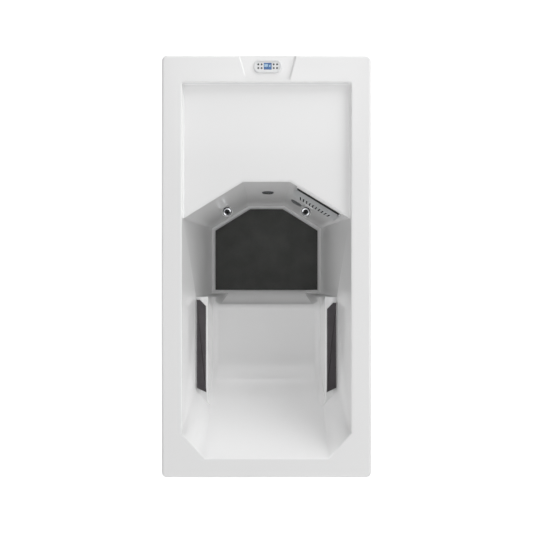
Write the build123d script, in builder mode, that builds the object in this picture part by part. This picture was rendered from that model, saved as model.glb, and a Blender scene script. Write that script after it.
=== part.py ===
from build123d import *
import math
import os

# A cold plunge tub: a moulded white shell in a panelled cabinet, with its chiller, pump and
# filter in the bay under the deck. Millimetres. The origin is the middle of the footprint on
# the floor, +Z is up, +Y is the deck end with the controls, +X is the side with the skimmer.

os.makedirs("parts", exist_ok=True)

# Overall size
tub_width = 970.0
tub_length = 1954.0
tub_height = 940.0
fit_gap = 0.3
run_gap = 0.05

# Moulded shell: sheet, rim and recess
shell_wall = 8.0
rim_side = 93.0
rim_head = 88.0
rim_deck = 127.0
rim_corner = 24.0
rim_lip = 60.0
rim_edge_round = 13.0
rim_inner_round = 6.0
deck_drop = 30.0
deck_cove = 9.0
deck_edge_round = 12.0

# Moulded shell: well
floor_height = 90.0
seat_height = 420.0
arm_height = 610.0
side_draft = 3.8
front_draft = 1.5
facet_draft = 1.4
facet_angle = 31.5
deck_front = 397.0
facet_length = 328.5
riser_foot = -165.0
riser_lean = 8.5
arm_front_draft = 0.8
arm_ledge = 62.0
arm_wall_draft = 4.5
seat_edge_round = 40.0
seat_back_round = 250.0
seat_cove = 34.0
back_lean = 26.0
back_chamfer_x = 107.0
back_chamfer_y = 118.0
back_chamfer_lean = 16.7
floor_cove = 18.0
corner_round = 12.0
recess_round = 12.0
arm_edge_round = 7.0

# Control pocket in the rim at the deck end, and the panel in it
control_offset = 5.5
pocket_mouth_half = 126.0
pocket_back_half = 97.0
pocket_length = 106.0
pocket_depth = 11.0
pocket_slope = 42.0
panel_from_edge = 50.0
bezel_length = 127.0
bezel_width = 58.0
bezel_corner = 25.0
bezel_height = 6.0
bezel_field_drop = 1.5
bezel_border = 7.0
display_length = 36.0
display_width = 31.0
display_thick = 2.4
button_radius = 3.9
button_flange = 0.8
button_travel = 0.6
button_proud = 1.0
button_first = 28.0
button_pitch_x = 15.3
button_pitch_y = 17.0

# Foam pads
mat_thick = 8.0
mat_margin = 3.0
arm_pad_thick = 9.0
arm_pad_margin = 7.0
arm_pad_clear = 0.5
arm_pad_fronts = {-1: -173.0, 1: -188.0}
arm_pad_back = -634.0
arm_pad_slant = 24.0
arm_pad_cut_x = 24.0
arm_pad_cut_y = 32.0
arm_pad_bevel = 3.0

# Skimmer on the right-hand slanting wall, measured along it from the end wall and from the deck
skimmer_left = 40.0
skimmer_width = 244.0
skimmer_top = -5.0
skimmer_bottom = -187.0
skimmer_plate = 6.0
skimmer_gasket_thick = 2.0
skimmer_stand = 7.0
skimmer_corner = 8.0
bulge_top = -70.0
bulge_low = -170.0
bulge_out = 7.0
skimmer_skin = 3.5
slot_count = 10
slot_pitch = 17.8
slot_width = 6.5
slot_top = -112.0
slot_low = -166.0
slot_fan = 1.7
throat_border = 20.0
throat_depth = 168.0
throat_wall = 4.0
flap_thick = 4.0
flap_height = 74.0
flap_pin = 2.5
flap_rise = 7.0
flap_setback = 4.0
skimmer_screw = 2.2
skimmer_screw_hole = 2.5
skimmer_screw_head = 4.5
skimmer_screw_inset = 10.0
skimmer_flange = 12.0
spigot_length = 24.0
outlet_shift = 30.0
outlet_length = 24.0
cartridge_radius = 40.0
cartridge_core = 14.0
cartridge_pleats = 24
cartridge_cap = 8.0

# Suction cover on the same wall and lens on the end wall
suction_along = 71.0
suction_drop = 440.0
suction_radius = 33.0
suction_dome = 7.0
suction_hole = 22.0
suction_cup = 44.0
suction_bore = 18.0
lens_offset = 7.0
lens_drop = 303.0
lens_radius = 31.0
lens_dome = 7.0
lens_hole = 20.0
lens_cup = 38.0

# Jets on both slanting walls, aimed up from moulded pods
jet_along = 140.0
jet_drop = 359.0
jet_stand = 30.0
jet_aim = 65.0
jet_ring_radius = 25.0
jet_ring_bore = 14.0
jet_ring_thick = 6.0
jet_ring_sleeve = 11.0
jet_sleeve_radius = 16.5
jet_cup_radius = 19.5
jet_cup_depth = 42.0
jet_tube_radius = 9.0
jet_tube_bore = 6.5
jet_tube_end = 150.0
jet_flange_radius = 23.0
jet_flange = 2.0
pod_radius = 28.0
pod_tip_radius = 11.0
pod_length = 106.0
nozzle_drop = 11.0
nozzle_bore = 6.0
nozzle_mouth = 9.5

# Cabinet
lip_gap = 3.0
panel_thick = 10.0
post_size = 40.0
post_round = 26.0
timber = 38.0
seat_beam_y = -400.0
seat_beam_depth = 90.0
prop_place = 235.0
pan_plate = 6.0
pan_skid = 14.0
pan_skid_width = 50.0
panel_floor_gap = 18.0
stud_places = (-480.0, 0.0, 560.0)
end_stud_place = 150.0
groove_depth = 2.0
groove_width = 6.0
groove_pitch = 112.0
louvre_count = 12
louvre_width = 290.0
louvre_pitch = 24.0
louvre_slat = 3.0
louvre_lean = 35.0
screw_head_radius = 6.0
screw_head = 2.5
screw_inset = 22.0

# Equipment in the bay under the deck
bay_gap = 16.0
chiller_width = 350.0
chiller_length = 300.0
tray_sheet = 4.0
tray_edge = 20.0
coil_width = 290.0
coil_height = 300.0
coil_thick = 40.0
fin_pitch = 10.0
shroud_depth = 38.0
fan_radius = 115.0
fan_tip_gap = 6.0
fan_hub = 26.0
fan_blades = 5
fan_pitch = 28.0
fan_blade_width = 34.0
fan_blade_sheet = 2.4
fan_shaft = 4.0
fan_setback = 8.0
fan_hub_depth = 22.0
spoke_start = 14.0
spoke_width = 14.0
motor_radius = 36.0
motor_length = 55.0
compressor_setback = 85.0
compressor_radius = 62.0
compressor_height = 215.0
compressor_dome = 40.0
foot_rubber = 10.0
foot_rubber_radius = 11.0
foot_plate = 4.0
foot_plate_reach = 10.0
exchanger_inset = 69.0
exchanger_radius = 56.0
exchanger_height = 300.0
exchanger_port_rise = 60.0
exchanger_stub = 20.0
exchanger_neck = 15.0
pump_offset = 113.0
pump_axis_height = 120.0
pump_gap = 57.0
volute_start = 46.0
motor_can_radius = 60.0
motor_can_length = 220.0
volute_radius = 78.0
volute_length = 64.0
volute_round = 10.0
port_offset = 40.0
port_wall = 4.0
port_rise = 26.0
motor_fins = 16
motor_fin_height = 8.0
motor_fin_sheet = 3.0
motor_cowl = 40.0
motor_fin_start = 30.0
terminal_width = 80.0
terminal_length = 90.0
terminal_height = 44.0
pipe_radius = 22.0
pipe_bore = 18.0
pipe_bend = 34.0
sump_clear = 12.0
hose_radius = 11.0
hose_lead = 50.0
hose_tee_inset = 8.7
manifold_gap = 43.0
manifold_height = 330.0
discharge_height = 420.0
drain_height = 82.0
drain_inset = 72.0
drain_radius = 15.0
drain_bore = 10.0
drain_thread = 30.0
drain_lever = 46.0
drain_lever_width = 14.0
drain_lever_sheet = 5.0
valve_length = 36.0
valve_nut = 5.0
valve_neck = 9.0
valve_neck_radius = 10.0
valve_stem = 4.0
gland_inset = 104.0
gland_height = 120.0
gland_radius = 10.0
gland_bore = 5.0
gland_nut = 4.0
gland_head = 6.0
gland_lock = 5.0
gland_inside = 14.0
gland_outside = 8.0
box_drop = 230.0
box_depth = 100.0
box_width = 170.0
box_height = 220.0
ozone_drop = 275.0
ozone_depth = 64.0
ozone_width = 110.0
ozone_height = 170.0
ozone_stub = 16.0
ozone_stub_radius = 6.0
ozone_stub_pitch = 50.0
box_corner = 8.0

# Levels and planes that follow from the sizes
half_width = tub_width / 2
half_length = tub_length / 2
rim_underside = tub_height - shell_wall
deck_height = tub_height - deck_drop
opening_half = half_width - rim_side
head_edge = rim_head - half_length
deck_edge = half_length - rim_deck
facet_normal = Vector(math.sin(math.radians(facet_angle)), math.cos(math.radians(facet_angle)))
facet_run = Vector(facet_normal.Y, -facet_normal.X)
cabinet_x = half_width - shell_wall - lip_gap
cabinet_y = half_length - shell_wall - lip_gap
inside_x = cabinet_x - panel_thick - fit_gap
inside_y = cabinet_y - panel_thick - fit_gap
pan_top = pan_skid + pan_plate


def slope(angle):
    """Run for each millimetre of rise of a wall that leans by an angle."""
    return math.tan(math.radians(angle))


def side_wall_x(height):
    """Distance of the well's side wall from the middle line at a height."""
    return opening_half - (tub_height - height) * slope(side_draft)


arm_inner = side_wall_x(arm_height) - arm_ledge
facet_start = side_wall_x(deck_height) - facet_length * facet_run.X
deck_facet = facet_start * facet_normal.X + deck_front * facet_normal.Y


def wall_plane(across_x, across_y, distance, height, draft):
    """Plane of a wall that is a distance from the middle at a height and closes in below it."""
    across = Vector(across_x, across_y).normalized()
    outward = Vector(across.X, across.Y, -slope(draft))
    return Plane(origin=across * distance + Vector(0, 0, height), z_dir=outward)


def side_planes(grow):
    """Both side walls of the well, from the rim to the floor."""
    return [wall_plane(side, 0, opening_half + grow, tub_height, side_draft) for side in (-1, 1)]


def foot_planes(grow):
    """Walls of the footwell's half-hexagon: end wall and the two slanting walls."""
    planes = [wall_plane(0, 1, deck_front + grow, deck_height, front_draft)]
    for side in (-1, 1):
        planes.append(wall_plane(side * facet_normal.X, facet_normal.Y, deck_facet + grow,
                                 deck_height, facet_draft))
    return planes


def corner_planes(grow):
    """Leaning planes that cut the corners between the backrest and the side walls."""
    run = math.hypot(back_chamfer_x, back_chamfer_y)
    distance = (back_chamfer_y * opening_half - back_chamfer_x * (head_edge + back_chamfer_y)) / run
    return [wall_plane(side * back_chamfer_y, -back_chamfer_x, distance + grow, tub_height,
                       back_chamfer_lean) for side in (-1, 1)]


def keep_inside(planes):
    """Cuts the part in work back to the inner side of each plane."""
    for plane in planes:
        split(bisect_by=plane, keep=Keep.BOTTOM)


def block(x_half, y_low, y_high, z_low, z_high):
    """Plain block between levels, as the start of a volume that planes then cut."""
    with Locations((0, (y_low + y_high) / 2, (z_low + z_high) / 2)):
        Box(2 * x_half, y_high - y_low, z_high - z_low)


def footwell_volume(grow, top):
    """Space of the footwell from its floor to a level."""
    back = riser_foot - grow
    with BuildPart() as volume:
        block(half_width, back, half_length, floor_height - grow, top)
        keep_inside([wall_plane(0, -1, -back, floor_height, -arm_front_draft)])
        keep_inside(side_planes(grow) + foot_planes(grow))
        if grow == 0:
            fillet(volume.faces().sort_by(Axis.Z)[0].edges(), radius=floor_cove)
    return volume.part


def lounge_profile(grow):
    """Side view of seat and backrest, grown by a wall."""
    seat_front = riser_foot - (seat_height - floor_height) * slope(riser_lean)
    back_foot = head_edge + (tub_height - seat_height) * slope(back_lean)
    above = tub_height + rim_lip
    with BuildSketch(Plane.YZ) as side:
        with BuildLine():
            Polyline(
                (riser_foot, floor_height),
                (seat_front, seat_height),
                (back_foot, seat_height),
                (head_edge - rim_lip * slope(back_lean), above),
                (0, above),
                (0, floor_height),
                close=True,
            )
        make_face()
        fillet(side.vertices().sort_by_distance((back_foot, seat_height))[0], seat_back_round)
        fillet(side.vertices().sort_by_distance((seat_front, seat_height))[0], seat_edge_round)
        if grow:
            offset(amount=grow, kind=Kind.INTERSECTION)
    return side.sketch


def lounge_volume(grow, half_foot, draft, bottom, top, cove=0.0):
    """Part of the lounge between two drafted walls, from a level to another."""
    profile = lounge_profile(grow)
    half_top = half_foot + (top - bottom) * slope(draft)
    with BuildPart() as volume:
        with BuildSketch(Plane.XZ):
            with BuildLine():
                Polyline((-half_foot, bottom), (half_foot, bottom), (half_top, top),
                         (-half_top, top), close=True)
            make_face()
        extrude(amount=half_length, both=True)
        extrude(profile, amount=half_width, both=True, mode=Mode.INTERSECT)
        if cove:
            sides = volume.edges().filter_by(lambda e: abs(e.center().X) > half_foot / 2)
            low = sides.filter_by(lambda e: riser_foot > e.center().Y and e.bounding_box().min.Z < top - 1)
            fillet(low, radius=cove)
    return volume.part


def recess_volume(grow, top, rounded=False):
    """Space of the shallow recess over the deck, up to a level."""
    with BuildPart() as volume:
        block(half_width, 0, deck_edge + grow, deck_height - grow, top)
        keep_inside(side_planes(grow))
        uprights = steep_edges(volume)
        fillet(uprights.group_by(Axis.Y)[-1], recess_round + grow)
        if rounded:
            fillet(volume.faces().sort_by(Axis.Z)[0].edges().sort_by(Axis.Y)[1:], deck_cove)
    return volume.part


def opening_volume(top):
    """Space inside the rim, from the deck up, with the cut corners at the backrest."""
    with BuildPart() as volume:
        block(half_width, -half_length, deck_edge, deck_height, top)
        keep_inside(side_planes(0) + corner_planes(0))
        keep_inside([wall_plane(0, -1, -head_edge, tub_height, back_lean)])
        uprights = steep_edges(volume)
        fillet(uprights.group_by(Axis.Y)[-1], recess_round)
    return volume.part


def flat_edges(part, height):
    """Edges of a part that lie flat at a height."""
    def lies_flat(edge):
        box = edge.bounding_box()
        return abs(box.min.Z - height) < 0.01 and abs(box.max.Z - height) < 0.01
    return part.edges().filter_by(lies_flat)


def steep_edges(part):
    """Edges of a part that run up and down."""
    return part.edges().filter_by(lambda e: abs(e.tangent_at(0.5).Z) > 0.9)


def well_volume(grow, top):
    """Whole space inside the shell's inner face, or inside its outer face when grown."""
    arm_space = arm_inner - (arm_height - floor_height) * slope(arm_wall_draft) + grow
    cove = seat_cove if grow == 0 else 0.0
    seat_part = lounge_volume(grow, arm_space, arm_wall_draft, floor_height - grow, arm_height, cove)
    over_arms = side_wall_x(arm_height) + grow
    upper_part = lounge_volume(grow, over_arms, side_draft, arm_height - grow, top)
    foot_part = footwell_volume(grow, top) + recess_volume(grow, top)
    with BuildPart() as volume:
        add(foot_part)
        if grow == 0:
            brink = flat_edges(volume, deck_height)
            fillet(brink.filter_by(lambda e: corner_round < e.center().Y < deck_front + 1),
                   radius=deck_edge_round)
            uprights = steep_edges(volume).filter_by(lambda e: 0 < e.center().Y < deck_front)
            fillet(uprights.filter_by(lambda e: e.length > seat_height), radius=corner_round)
        add(seat_part)
        add(upper_part)
        if grow == 0:
            ledge = flat_edges(volume, arm_height)
            fillet(ledge.filter_by(lambda e: abs(abs(e.center().X) - arm_inner) < 2
                                   or e.center().Y > riser_foot - 12), radius=arm_edge_round)
        keep_inside(corner_planes(grow))
    return volume.part


def facet_frame(side):
    """Plane on a slanting wall of the footwell, from its end at the deck and the end wall.

    Its x runs along the wall, its y up and its z into the tub.
    """
    into = Vector(-side * facet_normal.X, -facet_normal.Y, slope(facet_draft))
    along = Vector(facet_run.X, side * facet_run.Y, 0)
    start = Vector(side * facet_start, deck_front, deck_height)
    return Plane(origin=start, x_dir=along, z_dir=into)


def on_frame(frame, along, up, out=0.0):
    """A copy of a wall plane moved along, up and out of the wall."""
    start = frame.origin + frame.x_dir * along + frame.y_dir * up + frame.z_dir * out
    return Plane(origin=start, x_dir=frame.x_dir, z_dir=frame.z_dir)


def jet_frame(side):
    """Plane across the top of a jet's ring, with z along the way the jet points."""
    seat = on_frame(facet_frame(side), side * jet_along, -jet_drop, jet_stand)
    aim = math.radians(jet_aim)
    points = seat.z_dir * math.cos(aim) + seat.y_dir * math.sin(aim)
    return Plane(origin=seat.origin, x_dir=seat.x_dir, z_dir=points)


right_wall = facet_frame(1)
end_wall = Plane(origin=(0, deck_front, deck_height), x_dir=(1, 0, 0),
                 z_dir=(0, -1, slope(front_draft)))
suction_seat = on_frame(right_wall, suction_along, -suction_drop)
lens_seat = on_frame(end_wall, lens_offset, -lens_drop)
pod_top = -(jet_ring_thick + jet_flange + 2 * fit_gap)
skimmer_right = skimmer_left + skimmer_width
throat_left = skimmer_left + throat_border
throat_right = skimmer_right - throat_border
throat_top = skimmer_top - throat_border - 15
throat_low = skimmer_bottom + throat_border
throat_width = throat_right - throat_left
throat_height = throat_top - throat_low
throat_middle = ((throat_left + throat_right) / 2, (throat_top + throat_low) / 2)
skimmer_middle = ((skimmer_left + skimmer_right) / 2, (skimmer_top + skimmer_bottom) / 2)
skimmer_height = skimmer_top - skimmer_bottom
screw_x = skimmer_width / 2 - skimmer_screw_inset
screw_y = skimmer_height / 2 - skimmer_screw_inset
pocket_floor = tub_height - pocket_depth


def pocket_outline(grow):
    """Trapezoid of the control pocket's floor, open past the outer edge of the rim."""
    back = half_length - pocket_length - grow
    past = half_length + shell_wall
    flare = (pocket_mouth_half - pocket_back_half) / pocket_length
    back_half = pocket_back_half + grow
    past_half = back_half + flare * (past - back)
    return [(control_offset - back_half, back), (control_offset + back_half, back),
            (control_offset + past_half, past), (control_offset - past_half, past)]


# Shell: one vacuum-formed acrylic sheet with glass-fibre backing
inner_well = well_volume(0, tub_height - 2 * rim_inner_round)
outer_well = well_volume(shell_wall, rim_underside + shell_wall / 2)
rim_opening = opening_volume(tub_height + rim_lip)
deck_coves = recess_volume(0, tub_height) - recess_volume(0, tub_height, rounded=True)
deck_coves = deck_coves - footwell_volume(0, tub_height)
with BuildPart() as shell:
    with BuildSketch(Plane.XY.offset(tub_height - rim_lip)):
        RectangleRounded(tub_width, tub_length, rim_corner)
    extrude(amount=rim_lip)
    fillet(shell.edges().group_by(Axis.Z)[-1], radius=rim_edge_round)
    with BuildSketch(Plane.XY.offset(tub_height - rim_lip)):
        RectangleRounded(tub_width - 2 * shell_wall, tub_length - 2 * shell_wall,
                         rim_corner - shell_wall)
    extrude(amount=rim_lip - shell_wall, mode=Mode.SUBTRACT)
    add(outer_well)
    add(rim_opening, mode=Mode.SUBTRACT)
    opening = flat_edges(shell, tub_height).filter_by(
        lambda e: abs(e.center().X) < opening_half + 1 and head_edge - 1 < e.center().Y < deck_edge + 1)
    fillet(opening, rim_inner_round)
    add(inner_well, mode=Mode.SUBTRACT)
    add(deck_coves)
    # Floor under the control pocket, then the pocket with its sloping sides
    with BuildSketch(Plane.XY.offset(pocket_floor - shell_wall)):
        with BuildLine():
            Polyline(*pocket_outline(2 * shell_wall), close=True)
        make_face()
        Rectangle(tub_width, tub_length - 2 * shell_wall, mode=Mode.INTERSECT)
    extrude(amount=pocket_depth + shell_wall / 2)
    with BuildSketch(Plane.XY.offset(pocket_floor)):
        with BuildLine():
            Polyline(*pocket_outline(0), close=True)
        make_face()
    extrude(amount=2 * pocket_depth, taper=-pocket_slope, mode=Mode.SUBTRACT)
    # Moulded pods for the jets, cut off flush behind the wall
    for side in (-1, 1):
        jet = jet_frame(side)
        with BuildSketch(jet.offset(pod_top)):
            Circle(pod_radius)
        with BuildSketch(jet.offset(pod_top - pod_length)):
            Circle(pod_tip_radius)
        loft()
    # Raised flat seat that the skimmer's plate stands on
    with BuildSketch(on_frame(right_wall, *skimmer_middle, -shell_wall / 2)):
        RectangleRounded(skimmer_width, skimmer_height, skimmer_corner)
    extrude(amount=skimmer_stand + shell_wall / 2)
    # Holes for the jets, the skimmer, the suction and the lens
    for side in (-1, 1):
        jet = jet_frame(side)
        with BuildSketch(jet.offset(pod_top)):
            Circle(jet_cup_radius + fit_gap)
        extrude(amount=-(jet_cup_depth + fit_gap), mode=Mode.SUBTRACT)
        with BuildSketch(jet.offset(pod_top)):
            Circle(jet_tube_radius + fit_gap)
        extrude(amount=-jet_tube_end, mode=Mode.SUBTRACT)
    with BuildSketch(on_frame(right_wall, *throat_middle, -3 * shell_wall)):
        RectangleRounded(throat_width, throat_height, skimmer_corner)
    extrude(amount=6 * shell_wall, mode=Mode.SUBTRACT)
    with BuildSketch(on_frame(right_wall, *skimmer_middle, -2 * shell_wall)):
        with GridLocations(2 * screw_x, 2 * screw_y, 2, 2):
            Circle(skimmer_screw_hole)
    extrude(amount=4 * shell_wall, mode=Mode.SUBTRACT)
    for seat, hole in ((suction_seat, suction_hole), (lens_seat, lens_hole)):
        with BuildSketch(seat.offset(-3 * shell_wall)):
            Circle(hole)
        extrude(amount=6 * shell_wall, mode=Mode.SUBTRACT)
shell.part.label = "shell"
export_step(shell.part, "parts/shell.step")


def radial(frame):
    """Plane through a fitting's axis, with its x outwards and its y along the axis."""
    return Plane(origin=frame.origin, x_dir=frame.x_dir, z_dir=-frame.y_dir)


def axis_of(frame):
    """Axis of a fitting through its plane's origin."""
    return Axis(frame.origin, frame.z_dir)


# Floor mat: closed-cell foam sheet stuck in the footwell, inside the cove of the floor
mat_inset = floor_cove + mat_margin
with BuildPart() as floor_mat:
    block(half_width, riser_foot + mat_inset, half_length, floor_height + fit_gap,
          floor_height + fit_gap + mat_thick)
    keep_inside(side_planes(-mat_inset) + foot_planes(-mat_inset))
    fillet(floor_mat.edges().filter_by(lambda e: abs(e.length - mat_thick) < 0.2), radius=4)
    chamfer(floor_mat.edges().group_by(Axis.Z)[-1], length=1.5)
floor_mat.part.label = "floor_mat"
export_step(floor_mat.part, "parts/floor_mat.step")

# Arm pads: firm foam strips stuck on the arm ledges, with bevelled top edges
pad_inner = arm_inner + arm_edge_round + arm_pad_clear
pad_outer = side_wall_x(arm_height) - arm_pad_margin
for side, name in ((-1, "arm_pad_left"), (1, "arm_pad_right")):
    front = arm_pad_fronts[side]
    with BuildPart() as arm_pad:
        with BuildSketch(Plane.XY.offset(arm_height + fit_gap)):
            with BuildLine():
                Polyline((side * pad_outer, front), (side * (pad_inner + arm_pad_cut_x), front),
                         (side * pad_inner, front - arm_pad_cut_y),
                         (side * pad_inner, arm_pad_back - arm_pad_slant),
                         (side * pad_outer, arm_pad_back), close=True)
            make_face()
        extrude(amount=arm_pad_thick)
        chamfer(arm_pad.edges().group_by(Axis.Z)[-1], length=arm_pad_bevel)
    arm_pad.part.label = name
    export_step(arm_pad.part, f"parts/{name}.step")

# Control panel: moulded bezel, liquid-crystal window and eight push buttons
panel_plane = Plane.XY.offset(pocket_floor + fit_gap)
panel_middle = (control_offset, half_length - panel_from_edge)
bezel_field = bezel_height - bezel_field_drop
button_last = button_first + button_pitch_x
button_places = []
for row in (0.5, -0.5):
    for reach in (-button_last, -button_first, button_first, button_last):
        button_places.append((panel_middle[0] + reach, panel_middle[1] + row * button_pitch_y))
with BuildPart() as control_bezel:
    with BuildSketch(panel_plane):
        with Locations(panel_middle):
            RectangleRounded(bezel_length, bezel_width, bezel_corner)
    extrude(amount=bezel_height)
    fillet(control_bezel.edges().group_by(Axis.Z)[-1], radius=2.5)
    with BuildSketch(panel_plane.offset(bezel_field)):
        with Locations(panel_middle):
            RectangleRounded(bezel_length - 2 * bezel_border, bezel_width - 2 * bezel_border,
                             bezel_corner - bezel_border)
    extrude(amount=bezel_height, mode=Mode.SUBTRACT)
    with BuildSketch(panel_plane.offset(bezel_field - display_thick)):
        with Locations(panel_middle):
            Rectangle(display_length + 2 * fit_gap, display_width + 2 * fit_gap)
    extrude(amount=display_thick, mode=Mode.SUBTRACT)
    with BuildSketch(panel_plane):
        with Locations(*button_places):
            Circle(button_radius + fit_gap)
    extrude(amount=bezel_height, mode=Mode.SUBTRACT)
    with BuildSketch(panel_plane):
        with Locations(*button_places):
            Circle(button_radius + button_flange + fit_gap)
    extrude(amount=bezel_field / 2, mode=Mode.SUBTRACT)
control_bezel.part.label = "control_bezel"
export_step(control_bezel.part, "parts/control_bezel.step")

with BuildPart() as control_display:
    with BuildSketch(panel_plane.offset(bezel_field - display_thick + fit_gap)):
        with Locations(panel_middle):
            Rectangle(display_length, display_width)
    extrude(amount=display_thick)
    chamfer(control_display.edges().group_by(Axis.Z)[-1], length=0.6)
control_display.part.label = "control_display"
export_step(control_display.part, "parts/control_display.step")

button_names = ("button_power", "button_pump", "button_up", "button_light",
                "button_ozone", "button_timer", "button_down", "button_lock")
button_foot = button_travel + fit_gap
for name, place in zip(button_names, button_places):
    with BuildPart() as button:
        with BuildSketch(panel_plane.offset(button_foot)):
            with Locations(place):
                Circle(button_radius + button_flange)
        extrude(amount=button_flange)
        with BuildSketch(panel_plane.offset(button_foot)):
            with Locations(place):
                Circle(button_radius)
        extrude(amount=bezel_field + button_proud - button_foot)
        chamfer(button.edges().group_by(Axis.Z)[-1], length=0.5)
    button.part.label = name
    export_step(button.part, f"parts/{name}.step")

# Skimmer face: a moulded cover plate with a slotted lower half that bulges into the tub
plate_back = skimmer_stand + skimmer_gasket_thick + 2 * fit_gap
plate_front = plate_back + skimmer_plate
skimmer_side = Plane(origin=on_frame(right_wall, skimmer_middle[0], 0).origin,
                     x_dir=right_wall.y_dir, z_dir=right_wall.x_dir)
with BuildPart() as skimmer_face:
    with BuildSketch(on_frame(right_wall, *skimmer_middle, plate_back)):
        RectangleRounded(skimmer_width, skimmer_height, skimmer_corner)
    extrude(amount=skimmer_plate + bulge_out)
    with BuildSketch(skimmer_side):
        with BuildLine():
            Polyline((skimmer_top, plate_back), (skimmer_top, plate_front), (bulge_top, plate_front),
                     (bulge_low, plate_front + bulge_out),
                     (bulge_low - bulge_out, plate_front + bulge_out / 2),
                     (skimmer_bottom, plate_front), (skimmer_bottom, plate_back), close=True)
        make_face()
    extrude(amount=skimmer_width / 2, both=True, mode=Mode.INTERSECT)
    with BuildSketch(skimmer_side):
        with BuildLine():
            Polyline((throat_top, 0), (throat_top, plate_front - skimmer_skin),
                     (bulge_top, plate_front - skimmer_skin),
                     (bulge_low, plate_front + bulge_out - skimmer_skin),
                     (throat_low, plate_front + bulge_out - 2 * skimmer_skin),
                     (throat_low, 0), close=True)
        make_face()
    extrude(amount=throat_width / 2 - skimmer_skin, both=True, mode=Mode.SUBTRACT)
    for number in range(slot_count):
        step = number - (slot_count - 1) / 2
        along = skimmer_middle[0] + step * slot_pitch
        slot_plane = on_frame(right_wall, along, (slot_top + slot_low) / 2, plate_front)
        with BuildSketch(slot_plane):
            with Locations(Location((0, 0), -step * slot_fan)):
                SlotOverall(slot_top - slot_low, slot_width, rotation=90)
        extrude(amount=2 * bulge_out, both=True, mode=Mode.SUBTRACT)
    with BuildSketch(on_frame(right_wall, *skimmer_middle, plate_back)):
        with GridLocations(2 * screw_x, 2 * screw_y, 2, 2):
            Circle(skimmer_screw_hole)
    extrude(amount=skimmer_plate, mode=Mode.SUBTRACT)
    with BuildSketch(on_frame(right_wall, *skimmer_middle, plate_front)):
        with GridLocations(2 * screw_x, 2 * screw_y, 2, 2):
            Circle(skimmer_screw_head + fit_gap)
    extrude(amount=bulge_out, mode=Mode.SUBTRACT)
skimmer_face.part.label = "skimmer_face"
export_step(skimmer_face.part, "parts/skimmer_face.step")

# Skimmer gasket: black rubber frame behind the plate, with a lip hooked over its top edge
gasket_back = skimmer_stand + fit_gap
lip_foot = skimmer_top + fit_gap
lip_head = lip_foot + skimmer_gasket_thick
lip_root = lip_foot - skimmer_corner / 2
with BuildPart() as skimmer_gasket:
    with BuildSketch(on_frame(right_wall, *skimmer_middle, gasket_back)):
        RectangleRounded(skimmer_width, skimmer_height, skimmer_corner)
        with Locations((throat_middle[0] - skimmer_middle[0], throat_middle[1] - skimmer_middle[1])):
            Rectangle(throat_width, throat_height, mode=Mode.SUBTRACT)
        with GridLocations(2 * screw_x, 2 * screw_y, 2, 2):
            Circle(skimmer_screw_hole, mode=Mode.SUBTRACT)
    extrude(amount=skimmer_gasket_thick)
    with BuildSketch(skimmer_side):
        with BuildLine():
            Polyline((lip_root, gasket_back), (lip_root, gasket_back + skimmer_gasket_thick),
                     (lip_foot, gasket_back + skimmer_gasket_thick), (lip_foot, plate_front),
                     (lip_head, plate_front), (lip_head, gasket_back), close=True)
        make_face()
    extrude(amount=skimmer_width / 2 - skimmer_corner, both=True)
skimmer_gasket.part.label = "skimmer_gasket"
export_step(skimmer_gasket.part, "parts/skimmer_gasket.step")

# Skimmer screws: four pan-head screws through plate, gasket and wall
with BuildPart() as skimmer_screws:
    with BuildSketch(on_frame(right_wall, *skimmer_middle, plate_front + fit_gap)):
        with GridLocations(2 * screw_x, 2 * screw_y, 2, 2):
            Circle(skimmer_screw_head)
    extrude(amount=2)
    with BuildSketch(on_frame(right_wall, *skimmer_middle, plate_front + fit_gap)):
        with GridLocations(2 * screw_x, 2 * screw_y, 2, 2):
            Circle(skimmer_screw)
    extrude(amount=-(plate_front + shell_wall / 2))
skimmer_screws.part.label = "skimmer_screws"
export_step(skimmer_screws.part, "parts/skimmer_screws.step")

# Skimmer body: open box behind the wall, with the cartridge's spigot and the outlet below
body_front = -(shell_wall + fit_gap)
cartridge_back = -(throat_depth - throat_wall - cartridge_radius - 6)
cartridge_plane = Plane(origin=on_frame(right_wall, throat_left, throat_middle[1], cartridge_back).origin,
                        x_dir=right_wall.y_dir, z_dir=right_wall.x_dir)
outlet_along = throat_middle[0] + outlet_shift
outlet_plane = Plane(origin=on_frame(right_wall, outlet_along, throat_low - throat_wall,
                                     cartridge_back).origin,
                     x_dir=right_wall.x_dir, z_dir=-right_wall.y_dir)
flap_hinge = on_frame(right_wall, throat_left, throat_low + flap_rise, body_front - flap_setback)
flap_axis = Plane(origin=flap_hinge.origin, x_dir=right_wall.y_dir, z_dir=right_wall.x_dir)
with BuildPart() as skimmer_body:
    with BuildSketch(on_frame(right_wall, *throat_middle, body_front)):
        RectangleRounded(throat_width + 2 * skimmer_flange, throat_height + 2 * skimmer_flange,
                         skimmer_corner)
    extrude(amount=-throat_wall)
    with BuildSketch(on_frame(right_wall, *throat_middle, body_front)):
        RectangleRounded(throat_width + 2 * throat_wall, throat_height + 2 * throat_wall, skimmer_corner)
    extrude(amount=-(throat_depth + body_front))
    with BuildSketch(on_frame(right_wall, *throat_middle, body_front)):
        Rectangle(throat_width, throat_height)
    extrude(amount=-(throat_depth + body_front - throat_wall), mode=Mode.SUBTRACT)
    with BuildSketch(cartridge_plane):
        Circle(cartridge_core - fit_gap)
    extrude(amount=spigot_length)
    with BuildSketch(outlet_plane):
        Circle(pipe_radius)
    extrude(amount=outlet_length)
    with BuildSketch(outlet_plane.offset(-throat_wall)):
        Circle(pipe_bore)
    extrude(amount=outlet_length + throat_wall, mode=Mode.SUBTRACT)
    with BuildSketch(flap_axis.offset(-3)):
        Circle(flap_pin + run_gap)
    extrude(amount=throat_width + 6, mode=Mode.SUBTRACT)
skimmer_body.part.label = "skimmer_body"
export_step(skimmer_body.part, "parts/skimmer_body.step")

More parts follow.
